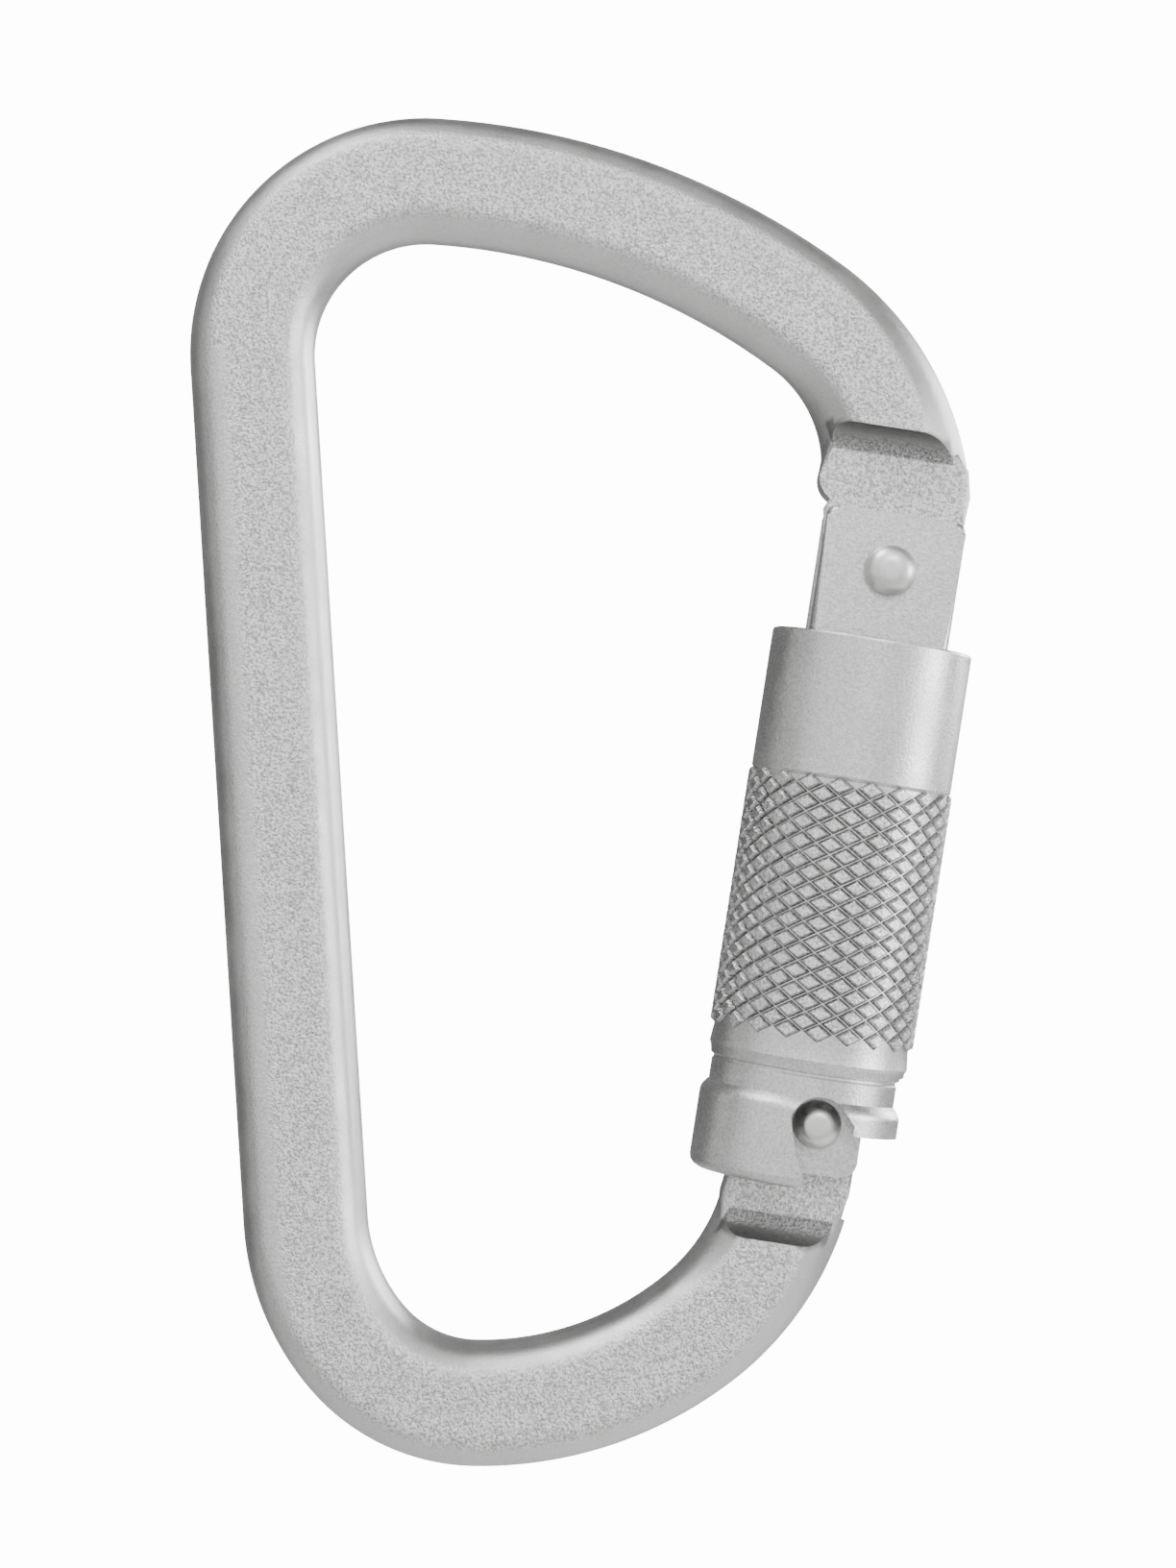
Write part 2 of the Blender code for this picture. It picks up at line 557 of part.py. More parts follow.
def build_sleeve(axis, mat):
    """The carrier empty lifts, and the sleeve turns on it."""
    sleeve = place("lock_sleeve", turned(sleeve_profile(), SLEEVE_SIDES, closed=True), axis, mat)
    front = helper("front_wall_cutter", prism(front_cut_outline(), -CUT_REACH, 0), axis)
    wall_end = LATCH_U - SHORT_WALL_BELOW_PIN
    far_v = SKIRT_RADIUS * math.cos(math.radians(LOBE_FAR_ANGLE))
    below = LATCH_U - LOBE_BELOW_PIN - CUT_REACH
    toe_v = far_v - LOBE_TOE
    back_outline = [(CUT_REACH, wall_end), (far_v, wall_end), (toe_v, wall_end - 1.5 * LOBE_TOE)]
    back_outline += [(toe_v, below), (CUT_REACH, below)]
    back = helper("back_wall_cutter", prism(back_outline, 0, CUT_REACH), axis)
    slot_top = LATCH_U + SLEEVE_SLOT_ABOVE_PIN
    slot_outline = [(SLEEVE_SLOT_START, below), (CUT_REACH, below)]
    slot_outline += [(CUT_REACH, slot_top), (SLEEVE_SLOT_START, slot_top)]
    slot = helper("nose_slot_cutter", prism(slot_outline, -SLEEVE_SLOT_HALF, SLEEVE_SLOT_HALF), axis)
    combine(sleeve, front, "DIFFERENCE")
    combine(sleeve, back, "DIFFERENCE")
    combine(sleeve, slot, "DIFFERENCE")


def coil(name, wire, radius, bottom, top, turns, v, steps, axis, mat):
    """A helix of round wire between two heights of its end faces."""
    curve = bpy.data.curves.new(name, "CURVE")
    curve.dimensions = "3D"
    curve.bevel_depth = wire * MM
    curve.bevel_resolution = 1
    curve.use_fill_caps = True
    count = turns * steps + 1
    spline = curve.splines.new("POLY")
    spline.points.add(count - 1)
    for i in range(count):
        share = i / (count - 1)
        angle = math.tau * turns * share
        height = bottom + wire + (top - bottom - 2 * wire) * share
        spot = (v + radius * math.cos(angle), radius * math.sin(angle), height)
        spline.points[i].co = (spot[0] * MM, spot[1] * MM, spot[2] * MM, 1)
    curve.materials.append(mat)
    obj = bpy.data.objects.new(name, curve)
    bpy.context.scene.collection.objects.link(obj)
    obj.parent = axis


def plunger_top():
    return -CAM_RADIUS - PLUNGER_GAP


def build_small_parts(axis, mat):
    washer_low = SHOULDER_U + PART_GAP
    washer_top = washer_low + WASHER_THICK
    ring = [(WASHER_OUTER, washer_top), (WASHER_OUTER, washer_low)]
    ring += [(WASHER_INNER, washer_low), (WASHER_INNER, washer_top)]
    place("spring_washer", turned(ring, 40, closed=True), axis, mat)
    collar_end = -SLEEVE_EDGE - COLLAR_BELOW_EDGE - COLLAR_LENGTH
    low, high = washer_top + PART_GAP, collar_end - PART_GAP
    coil("sleeve_spring", SPRING_WIRE, SPRING_RADIUS, low, high, SPRING_TURNS, 0, 18, axis, mat)
    tip = plunger_top()
    profile = [(0, tip)]
    for i in range(1, 5):
        angle = math.radians(20 * i)
        profile.append((PLUNGER_RADIUS * math.sin(angle), tip - PLUNGER_RADIUS * (1 - math.cos(angle))))
    foot = tip - PLUNGER_LENGTH
    profile += [(PLUNGER_RADIUS, tip - PLUNGER_RADIUS), (PLUNGER_RADIUS, foot), (0, foot)]
    plunger = place("gate_plunger", turned(profile, 20), axis, mat)
    plunger.location = (HINGE_OFFSET * MM, 0, 0)
    spring_top = foot - PART_GAP
    spring_low = spring_top - GATE_SPRING_LENGTH
    coil(
        "gate_spring", GATE_SPRING_WIRE, GATE_SPRING_RADIUS, spring_low, spring_top,
        GATE_SPRING_TURNS, HINGE_OFFSET, 12, axis, mat,
    )


def main():
    clear_scene()
    forged = steel("forged_steel", STEEL, 0.45)
    machined = steel("machined_steel", STEEL, 0.35)
    bright = steel("rivet_steel", BRIGHT_STEEL, 0.22)
    spring = steel("spring_steel", SPRING_STEEL, 0.35)
    axis = gate_axis_empty()
    build_frame(axis, forged)
    build_gate(axis, machined)
    hinge_profile = rivet_profile(HINGE_PIN_RADIUS, HINGE_HEAD_RADIUS, HINGE_HEAD_HEIGHT)
    latch_profile = rivet_profile(LATCH_PIN_RADIUS, LATCH_HEAD_RADIUS, LATCH_HEAD_HEIGHT)
    build_rivet("hinge_rivet", HINGE_OFFSET, 0, hinge_profile, axis, bright)
    build_rivet("latch_rivet", LATCH_OFFSET, LATCH_U, latch_profile, axis, bright)
    build_sleeve(axis, machined)
    build_small_parts(axis, spring)


main()
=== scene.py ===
import json
import math

import bmesh
import bpy
from mathutils import Matrix, Vector


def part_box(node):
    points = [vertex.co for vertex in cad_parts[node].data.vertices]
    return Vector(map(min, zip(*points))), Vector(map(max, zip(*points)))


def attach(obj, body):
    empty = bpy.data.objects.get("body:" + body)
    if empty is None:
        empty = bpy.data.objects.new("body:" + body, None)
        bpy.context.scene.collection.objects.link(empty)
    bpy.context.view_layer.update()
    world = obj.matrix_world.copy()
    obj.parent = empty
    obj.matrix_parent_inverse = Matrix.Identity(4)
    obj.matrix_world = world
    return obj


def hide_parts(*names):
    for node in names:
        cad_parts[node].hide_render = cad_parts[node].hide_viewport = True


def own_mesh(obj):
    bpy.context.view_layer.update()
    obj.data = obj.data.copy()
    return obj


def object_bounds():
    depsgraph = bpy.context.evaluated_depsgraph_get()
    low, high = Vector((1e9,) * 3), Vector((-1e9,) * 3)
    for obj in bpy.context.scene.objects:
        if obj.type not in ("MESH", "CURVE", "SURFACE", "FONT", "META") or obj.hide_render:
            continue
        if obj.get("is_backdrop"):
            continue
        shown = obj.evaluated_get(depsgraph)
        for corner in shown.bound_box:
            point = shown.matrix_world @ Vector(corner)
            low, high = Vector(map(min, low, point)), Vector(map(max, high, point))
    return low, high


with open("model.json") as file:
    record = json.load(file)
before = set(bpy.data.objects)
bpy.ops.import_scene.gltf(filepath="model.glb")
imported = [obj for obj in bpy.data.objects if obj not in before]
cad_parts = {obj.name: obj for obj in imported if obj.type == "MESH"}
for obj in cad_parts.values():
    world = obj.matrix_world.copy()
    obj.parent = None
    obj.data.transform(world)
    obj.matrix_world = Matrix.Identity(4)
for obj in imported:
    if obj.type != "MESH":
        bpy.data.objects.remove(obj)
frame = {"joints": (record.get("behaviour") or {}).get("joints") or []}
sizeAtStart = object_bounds()
mm = 0.001
radians = math.radians


# The gate's own axes: local x is outward, local z runs up the gate, level with the hinge pin.
joints = {joint["name"]: joint for joint in frame["joints"]}
gateUp = -Vector(joints["sleeve_turn"]["axis"])
gateLevel = Vector(joints["sleeve_turn"]["pos_m"])
tilt = math.atan2(gateUp.x, gateUp.z)
gateMatrix = Matrix.Translation(gateLevel) @ Matrix.Rotation(tilt, 4, "Y")
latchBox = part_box("latch_rivet")
latchPin = gateMatrix.inverted() @ ((latchBox[0] + latchBox[1]) / 2) / mm
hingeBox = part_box("hinge_rivet")
hingePin = gateMatrix.inverted() @ ((hingeBox[0] + hingeBox[1]) / 2) / mm
latchU = latchPin.z


def makeMesh(name, bm, matrix=None):
    bmesh.ops.recalc_face_normals(bm, faces=bm.faces)
    mesh = bpy.data.meshes.new(name)
    bm.to_mesh(mesh)
    bm.free()
    mesh.transform((matrix or Matrix.Identity(4)) @ Matrix.Scale(mm, 4))
    obj = bpy.data.objects.new(name, mesh)
    bpy.context.scene.collection.objects.link(obj)
    return obj


def bakeModifiers(obj):
    graph = bpy.context.evaluated_depsgraph_get()
    baked = bpy.data.meshes.new_from_object(obj.evaluated_get(graph))
    obj.modifiers.clear()
    obj.data = baked
    return obj


def carve(obj, others):
    for other, operation in others:
        modifier = obj.modifiers.new(operation.lower(), "BOOLEAN")
        modifier.operation = operation
        modifier.solver = "EXACT"
        modifier.object = other
    bakeModifiers(obj)
    for other, operation in others:
        bpy.data.objects.remove(other)
    return obj


def weightNormals(obj):
    modifier = obj.modifiers.new("normals", "WEIGHTED_NORMAL")
    modifier.mode = "FACE_AREA"
    modifier.weight = 100
    modifier.keep_sharp = True
    return bakeModifiers(obj)


def finishPiece(obj, body, node, material, smoothAngle=40):
    obj.data.materials.clear()
    obj.data.materials.append(material)
    obj.data.shade_smooth()
    obj.data.set_sharp_from_angle(angle=radians(smoothAngle))
    weightNormals(obj)
    if node:
        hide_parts(node)
    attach(obj, body)
    return obj


def prism(outline, low, high):
    bm = bmesh.new()
    rings = [[bm.verts.new((v, y, u)) for v, u in outline] for y in (low, high)]
    bm.faces.new(rings[0])
    bm.faces.new(list(reversed(rings[1])))
    for i in range(len(outline)):
        j = (i + 1) % len(outline)
        bm.faces.new((rings[0][i], rings[0][j], rings[1][j], rings[1][i]))
    return bm


def bevelRims(bm, width, segments=3):
    rims = [e for e in bm.edges if abs(e.verts[0].co.y - e.verts[1].co.y) < 1e-6]
    bmesh.ops.bevel(bm, geom=rims, offset=width, segments=segments, profile=0.5, affect="EDGES")
    return bm


def turned(profile, sides, closed=False):
    bm = bmesh.new()
    rings = []
    for radius, height in profile:
        if radius == 0:
            rings.append([bm.verts.new((0, 0, height))])
            continue
        spots = [math.tau * i / sides for i in range(sides)]
        ring = [bm.verts.new((radius * math.cos(a), radius * math.sin(a), height)) for a in spots]
        rings.append(ring)
    pairs = list(zip(rings, rings[1:]))
    if closed:
        pairs.append((rings[-1], rings[0]))
    for upper, lower in pairs:
        for i in range(sides):
            j = (i + 1) % sides
            corners = [upper[i % len(upper)], upper[j % len(upper)]]
            corners += [lower[j % len(lower)], lower[i % len(lower)]]
            bm.faces.new(list(dict.fromkeys(corners)))
    return bm


def arcPoints(centre, radius, start, end, steps):
    points = []
    for i in range(steps + 1):
        angle = radians(start + (end - start) * i / steps)
        points.append((centre[0] + radius * math.cos(angle), centre[1] + radius * math.sin(angle)))
    return points


def roundCorners(points, reach, steps=4):
    rounded = []
    count = len(points)
    for i in range(count):
        here = Vector(points[i])
        before = Vector(points[i - 1]) - here
        after = Vector(points[(i + 1) % count]) - here
        cut = min(reach, 0.45 * before.length, 0.45 * after.length)
        first = here + before.normalized() * cut
        last = here + after.normalized() * cut
        for k in range(steps + 1):
            t = k / steps
            rounded.append(tuple(first * (1 - t) ** 2 + here * 2 * t * (1 - t) + last * t**2))
    return rounded


# Node trees: a number is set on the socket, anything else is linked to it.
def feed(tree, socket, value):
    if isinstance(value, (int, float)):
        socket.default_value = value
    else:
        tree.links.new(value, socket)


def maths(tree, operation, *values):
    node = tree.nodes.new("ShaderNodeMath")
    node.operation = operation
    for socket, value in zip(node.inputs, values):
        feed(tree, socket, value)
    return node.outputs[0]


def mapRange(tree, value, source, result, smooth=False):
    node = tree.nodes.new("ShaderNodeMapRange")
    if smooth:
        node.interpolation_type = "SMOOTHSTEP"
    node.inputs["From Min"].default_value = source[0]
    node.inputs["From Max"].default_value = source[1]
    node.inputs["To Min"].default_value = result[0]
    node.inputs["To Max"].default_value = result[1]
    tree.links.new(value, node.inputs["Value"])
    return node.outputs["Result"]


def attributeOf(tree, name):
    node = tree.nodes.new("ShaderNodeAttribute")
    node.attribute_name = name
    return node.outputs["Fac"]


print("helpers ready")


# Materials: one shared grain group and five steels.
grain = {
    "sand": (4400, 2, 0.7),  # scale, detail and roughness of the noise
    "fine": (12000, 1, 0.5),
    "broad": (320, 3, 0.6),
    "wear": (140, 4, 0.65),
    "fineHeight": 0.15,
    "pitScale": 1500,
    "pitSize": 0.16,
    "pitHeight": 0.25,
    "sandShade": 2.2,
    "broadShade": 0.16,
    "pitShade": 0.12,
    "tone": (0.55, 1.3),  # darkest and palest share of the colour
    "wearRange": (0.3, 0.7),
    "polish": 0.06,  # roughness taken off and added by wear
    "dulling": 0.08,
    "bumpHeight": 0.0001,
    # painted shade: stepShade and grooveShade set how far the milled steps and the knurl grooves are
    # darkened
    "stepShade": 0.42,  # how dark the milled steps are
    "grooveShade": 0.15,
}


def grainGroup():
    group = bpy.data.node_groups.new("steelGrain", "ShaderNodeTree")
    group.interface.new_socket("Grain", in_out="INPUT", socket_type="NodeSocketFloat")
    group.interface.new_socket("Pits", in_out="INPUT", socket_type="NodeSocketFloat")
    group.interface.new_socket("Height", in_out="OUTPUT", socket_type="NodeSocketFloat")
    group.interface.new_socket("Shade", in_out="OUTPUT", socket_type="NodeSocketFloat")
    group.interface.new_socket("Wear", in_out="OUTPUT", socket_type="NodeSocketFloat")
    nodes, links = group.nodes, group.links
    source = nodes.new("NodeGroupInput")
    result = nodes.new("NodeGroupOutput")
    place = nodes.new("ShaderNodeTexCoord")

    def noise(kind):
        node = nodes.new("ShaderNodeTexNoise")
        for socket, value in zip(("Scale", "Detail", "Roughness"), grain[kind]):
            node.inputs[socket].default_value = value
        links.new(place.outputs["Object"], node.inputs["Vector"])
        return node.outputs["Fac"]

    sand = maths(group, "SUBTRACT", noise("sand"), 0.5)
    fine = maths(group, "SUBTRACT", noise("fine"), 0.5)
    broad = maths(group, "SUBTRACT", noise("broad"), 0.5)
    sandAmount = maths(group, "MULTIPLY", sand, source.outputs["Grain"])
    pits = nodes.new("ShaderNodeTexVoronoi")
    pits.inputs["Scale"].default_value = grain["pitScale"]
    links.new(place.outputs["Object"], pits.inputs["Vector"])
    inPit = maths(group, "LESS_THAN", pits.outputs["Distance"], grain["pitSize"])
    pitDepth = maths(group, "MULTIPLY", inPit, source.outputs["Pits"])
    height = maths(group, "ADD", sandAmount, maths(group, "MULTIPLY", fine, grain["fineHeight"]))
    height = maths(group, "SUBTRACT", height, maths(group, "MULTIPLY", pitDepth, grain["pitHeight"]))
    links.new(height, result.inputs["Height"])
    sandShade = maths(group, "MULTIPLY", sandAmount, grain["sandShade"])
    shade = maths(group, "ADD", sandShade, maths(group, "MULTIPLY", broad, grain["broadShade"]))
    shade = maths(group, "SUBTRACT", shade, maths(group, "MULTIPLY", pitDepth, grain["pitShade"]))
    links.new(shade, result.inputs["Shade"])
    links.new(noise("wear"), result.inputs["Wear"])
    return group


steelValues = {
    "forgedSteel": {
        "colour": (0.60, 0.60, 0.595), "roughness": 0.42, "grain": 1.7, "pits": 1.0, "bump": 1.0,
    },
    "machinedSteel": {
        "colour": (0.63, 0.63, 0.625), "roughness": 0.38, "grain": 0.6, "pits": 0.7, "bump": 0.5,
    },
    "knurledSteel": {
        "colour": (0.68, 0.68, 0.675), "roughness": 0.30, "grain": 1.5, "pits": 0.5, "bump": 0.55,
    },
    "rivetSteel": {
        "colour": (0.70, 0.70, 0.69), "roughness": 0.38, "grain": 0.2, "pits": 0.2, "bump": 0.2,
    },
    "springSteel": {
        "colour": (0.42, 0.42, 0.43), "roughness": 0.32, "grain": 0.1, "pits": 0.0, "bump": 0.2,
    },
}
grainNodes = grainGroup()


def steelMaterial(name, masked=False, shaded=None):
    values = steelValues[name]
    material = bpy.data.materials.new(name)
    material.use_nodes = True
    tree = material.node_tree
    nodes, links = tree.nodes, tree.links
    shader = nodes["Principled BSDF"]
    shader.inputs["Metallic"].default_value = 1.0
    pattern = nodes.new("ShaderNodeGroup")
    pattern.node_tree = grainNodes
    mask = attributeOf(tree, "sandy") if masked else None
    for socket in ("Grain", "Pits"):
        amount = values[socket.lower()]
        feed(tree, pattern.inputs[socket], maths(tree, "MULTIPLY", mask, amount) if masked else amount)
    strength = mapRange(tree, pattern.outputs["Shade"], (-0.5, 0.5), grain["tone"])
    # Painted shade: where the marked attribute is 1 the colour is darkened to the given share, for shade in
    # steps and grooves.
    if shaded:
        dimming = mapRange(tree, attributeOf(tree, "paintedShade"), (0.0, 1.0), (1.0, shaded))
        strength = maths(tree, "MULTIPLY", strength, dimming)
    colour = nodes.new("ShaderNodeVectorMath")
    colour.operation = "SCALE"
    colour.inputs[0].default_value = values["colour"]
    links.new(strength, colour.inputs["Scale"])
    links.new(colour.outputs["Vector"], shader.inputs["Base Color"])
    smoothest = values["roughness"] - grain["polish"]
    roughest = values["roughness"] + grain["dulling"]
    rough = mapRange(tree, pattern.outputs["Wear"], grain["wearRange"], (smoothest, roughest))
    links.new(rough, shader.inputs["Roughness"])
    bump = nodes.new("ShaderNodeBump")
    bump.inputs["Strength"].default_value = values["bump"]
    bump.inputs["Distance"].default_value = grain["bumpHeight"]
    links.new(pattern.outputs["Height"], bump.inputs["Height"])
    links.new(bump.outputs["Normal"], shader.inputs["Normal"])
    return material


# The forged and knurled steels carry painted shade in the milled steps and the knurl grooves.
forgedSteel = steelMaterial("forgedSteel", masked=True, shaded=grain["stepShade"])
machinedSteel = steelMaterial("machinedSteel")
knurledSteel = steelMaterial("knurledSteel", shaded=grain["grooveShade"])
rivetSteel = steelMaterial("rivetSteel")
springSteel = steelMaterial("springSteel")
print("materials ready")


# Frame: a forged bar bent into tangent arcs, milled down to a tongue at each end.
bar = {
    "halfWidth": 5.15,
    "halfThick": 4.7,
    "flatShare": 0.58,
    "bevel": (0.88, 0.72),
    "sideDepth": 0.28,
    "endFlatShare": 0.42,
    "endBevel": (0.78, 0.54),
    "endSideDepth": 0.14,
    "cornerReach": 0.75,
    "spineLength": 71.25,
    "floorRadius": 29.2,
    "floorToSpine": 4.6,
    "floorToNose": 35.5,
    "cornerRadius": 13.2,
    "cornerAngle": 48.3,
    "flankRadius": 18.0,
    "noseBendRadius": 20.3,
    "noseStraight": 1.4,
    "crownRadius": 14.4,
    "crownAngle": 97.3,
    "runRadius": 58.5,
    "runAngle": 32.6,
    "shoulderRadius": 17.6,
    "skin": 0.01,  # how far the surface stays inside the solid part's sides
    "stationAngle": 1.6,
    "stationLength": 1.5,
    "longestGap": 2.0,  # a flat wider than this gets points across it
    "gapParts": 6,
    "overlap": 4.0,
    "hingeSwell": (6.1, 6.15),
    "noseSwell": (5.3, 5.35),
}
tongue = {
    "halfThick": 2.4,
    "hingeInner": 6.55,
    "hingeOuter": 6.1,
    "noseInner": 5.4,
    "noseOuter": 5.05,
    "hingeStep": 9.3,
    "noseStep": 7.8,
    "forkTop": 4.7,
    "camRadius": 5.2,
    "camRise": 1.4,
    "camReach": 38.0,
    "hookTop": 3.8,
    "hookReach": 1.8,
    "notch": 1.85,
    "rim": 0.7,
    "plateInset": 0.012,  # keeps the plates' faces off the milled faces
    "camTail": 24.0,
    "lugRoot": 1.2,
    "lugShoulder": 2.1,
    "lugShoulderRise": 2.4,
    "lugFlank": 4.9,
    "noseRoot": 3.4,
    "hookTopRound": 1.0,
    "hookTipRound": 0.7,
    "arcSteps": 32,
}
pins = {"hinge": 1.8, "latch": 1.6, "lugClearance": 0.12, "seat": 0.05, "sides": 64}
cutReach = 12  # how far a cutter goes past the piece it cuts


def walk(point, heading, side, runs):
    stations = [(point[0], point[1], heading)]
    x, z = point
    for size, angle in runs:
        if angle == 0:
            steps = max(1, round(size / bar["stationLength"]))
            for i in range(1, steps + 1):
                far = size * i / steps
                stations.append((x + far * math.cos(heading), z + far * math.sin(heading), heading))
            x, z = stations[-1][:2]
            continue
        centreX = x - side * size * math.sin(heading)
        centreZ = z + side * size * math.cos(heading)
        steps = max(3, math.ceil(angle / bar["stationAngle"]))
        for i in range(1, steps + 1):
            now = heading + side * radians(angle) * i / steps
            x = centreX + side * size * math.sin(now)
            z = centreZ - side * size * math.cos(now)
            stations.append((x, z, now))
        heading = stations[-1][2]
    return stations


def barHalves():
    floor = radians(bar["floorToSpine"])
    corner = floor + radians(bar["cornerAngle"])
    across = bar["floorRadius"] * math.sin(floor)
    across += bar["cornerRadius"] * (math.sin(corner) - math.sin(floor))
    across += bar["flankRadius"] * (1 - math.sin(corner)) - bar["crownRadius"]
    rise = bar["floorRadius"] * (1 - math.cos(floor)) + bar["flankRadius"] * math.cos(corner)
    rise += bar["cornerRadius"] * (math.cos(floor) - math.cos(corner))
    start = (across, bar["halfWidth"] - rise - bar["spineLength"] - bar["crownRadius"])
    lean = math.degrees(tilt)
    noseShort = math.degrees((bar["overlap"] - bar["noseStraight"]) / bar["noseBendRadius"])
    hingeShort = math.degrees(bar["overlap"] / bar["shoulderRadius"])
    noseTurn = 90 - lean - bar["floorToNose"] - noseShort
    hingeTurn = 180 + lean - bar["crownAngle"] - bar["runAngle"] - hingeShort
    noseRuns = [(bar["floorRadius"], bar["floorToNose"]), (bar["noseBendRadius"], noseTurn)]
    spineRuns = [
        (bar["floorRadius"], bar["floorToSpine"]),
        (bar["cornerRadius"], bar["cornerAngle"]),
        (bar["flankRadius"], 90 - bar["floorToSpine"] - bar["cornerAngle"]),
        (bar["spineLength"], 0),
        (bar["crownRadius"], bar["crownAngle"]),
        (bar["runRadius"], bar["runAngle"]),
        (bar["shoulderRadius"], hingeTurn),
    ]
    return walk(start, 0.0, 1, noseRuns), walk(start, math.pi, -1, spineRuns)


def barSection(share):
    def mix(plain, end):
        return plain + (end - plain) * share

    flat = mix(bar["flatShare"], bar["endFlatShare"]) * bar["halfWidth"]
    bevelAcross = mix(bar["bevel"][0], bar["endBevel"][0]) * bar["halfWidth"]
    bevel = (bevelAcross, mix(bar["bevel"][1], bar["endBevel"][1]) * bar["halfThick"])
    side = (bar["halfWidth"], mix(bar["sideDepth"], bar["endSideDepth"]) * bar["halfThick"])
    quarter = [(flat, bar["halfThick"]), bevel, side]
    right = [(a, -b) for a, b in quarter] + [(a, b) for a, b in reversed(quarter)]
    left = [(-a, -b) for a, b in right]
    ring = roundCorners(right + left, bar["cornerReach"])
    filled = []
    for i, spot in enumerate(ring):
        following = ring[(i + 1) % len(ring)]
        filled.append(spot)
        gap = following[0] - spot[0]
        if abs(gap) > bar["longestGap"]:
            parts = bar["gapParts"]
            filled += [(spot[0] + gap * k / parts, spot[1]) for k in range(1, parts)]
    return filled


def addRing(bm, station, share, inner, outer, side):
    x, z, heading = station
    section = barSection(share)
    normal = Vector((-math.sin(heading), math.cos(heading))) * side
    ring = []
    for across, depth in section:
        reach = across * ((inner if across > 0 else outer) - bar["skin"]) / bar["halfWidth"]
        ring.append(bm.verts.new((x + normal.x * reach, depth, z + normal.y * reach)))
    return ring


def swellRows(stations, firstHeading, swell):
    lastHeading = stations[-1][2]
    rows = []
    for station in stations:
        share = max(0.0, min(1.0, (station[2] - firstHeading) / (lastHeading - firstHeading)))
        inner = bar["halfWidth"] + (swell[0] - bar["halfWidth"]) * share**2
        outer = bar["halfWidth"] + (swell[1] - bar["halfWidth"]) * share**2
        rows.append((station, share, inner, outer))
    return rows


def barMesh():
    nose, hinge = barHalves()
    noseRows = swellRows(nose, radians(bar["floorToNose"]), bar["noseSwell"])
    bendStart = math.pi / 2 - radians(bar["crownAngle"] + bar["runAngle"])
    hingeRows = swellRows(hinge, bendStart, bar["hingeSwell"])
    bm = bmesh.new()
    rings = [addRing(bm, *row, 1) for row in reversed(noseRows)]
    rings += [addRing(bm, *row, -1) for row in hingeRows[1:]]
    for first, second in zip(rings, rings[1:]):
        for i in range(len(first)):
            j = (i + 1) % len(first)
            bm.faces.new((first[i], first[j], second[j], second[i]))
    bm.faces.new(rings[0])
    bm.faces.new(rings[-1])
    return bm


def stepCutter(edge, far):
    depth = bar["halfThick"] - tongue["halfThick"]
    way = 1 if edge > far else -1
    profile = [(far, tongue["halfThick"])]
    for i in range(17):
        angle = radians(-90 + 90 * i / 16)
        profile.append((edge + way * depth * math.cos(angle), bar["halfThick"] + depth * math.sin(angle)))
    top = bar["halfThick"] + depth
    profile += [(edge + way * depth, top), (far, top)]
    half = 3 * bar["halfWidth"]
    bm = bmesh.new()
    for side in (-1, 1):
        rings = [[bm.verts.new((v, side * y, u)) for u, y in profile] for v in (-half, half)]
        bm.faces.new(rings[0])
        bm.faces.new(list(reversed(rings[1])))
        for i in range(len(profile)):
            j = (i + 1) % len(profile)
            bm.faces.new((rings[0][i], rings[1][i], rings[1][j], rings[0][j]))
    return bm


def lugOutline():
    rootU = tongue["hingeStep"] + tongue["lugRoot"]
    shoulderU = tongue["forkTop"] + tongue["lugShoulderRise"]
    inner, outer, shoulder = tongue["hingeInner"], tongue["hingeOuter"], tongue["lugShoulder"]
    reach, flank, steps = tongue["camReach"], tongue["lugFlank"], tongue["arcSteps"]
    outline = [(-inner + 0.15, rootU), (-inner, shoulderU)]
    outline += arcPoints((-inner + shoulder, shoulderU), shoulder, 190, 250, 8)
    outline += [(-flank, tongue["forkTop"] - 0.1), (-flank, -2.0)]
    for i in range(steps + 1):
        swing = radians(reach - (reach + tongue["camTail"]) * i / steps)
        radius = tongue["camRadius"] + tongue["camRise"] * max(0.0, swing)
        outline.append((hingePin.x - radius * math.sin(swing), -radius * math.cos(swing)))
    outline += [(outer - 0.6, -1.5), (outer - 0.2, tongue["forkTop"])]
    outline += [(outer, shoulderU), (outer - 0.45, rootU - 1.3), (outer - 1.5, rootU)]
    return outline


def noseOutline():
    notch, outer, inner = tongue["notch"], tongue["noseOuter"], tongue["noseInner"]
    topRound, tipRound = tongue["hookTopRound"], tongue["hookTipRound"]
    rootU = latchU - tongue["noseStep"] - tongue["noseRoot"]
    tipV = latchPin.x - tongue["hookReach"]
    topU = latchU + tongue["hookTop"]
    outline = [(-inner + 0.2, rootU), (outer - 1.9, rootU)]
    outline += [(outer - 0.45, latchU - 8.3), (outer - 0.05, latchU - 5.6), (outer, latchU - 2.0)]
    outline += arcPoints((outer - topRound, topU - topRound), topRound, 0, 90, 6)
    outline += arcPoints((tipV + tipRound, topU - tipRound), tipRound, 90, 180, 6)
    outline += [(tipV, latchU + notch)]
    outline += arcPoints((latchPin.x, latchU), notch, 90, -90, tongue["arcSteps"])
    outline += [(latchPin.x - 2.6, latchU - notch - 0.1), (-4.4, latchU - 3.6)]
    outline += [(-inner + 0.2, latchU - 4.9), (-inner - 0.1, latchU - 7.0)]
    return outline


def crosswise(bm, spot):
    bmesh.ops.rotate(bm, verts=bm.verts, matrix=Matrix.Rotation(math.pi / 2, 3, "X"))
    bmesh.ops.translate(bm, verts=bm.verts, vec=(spot.x, 0, spot.z))
    return bm


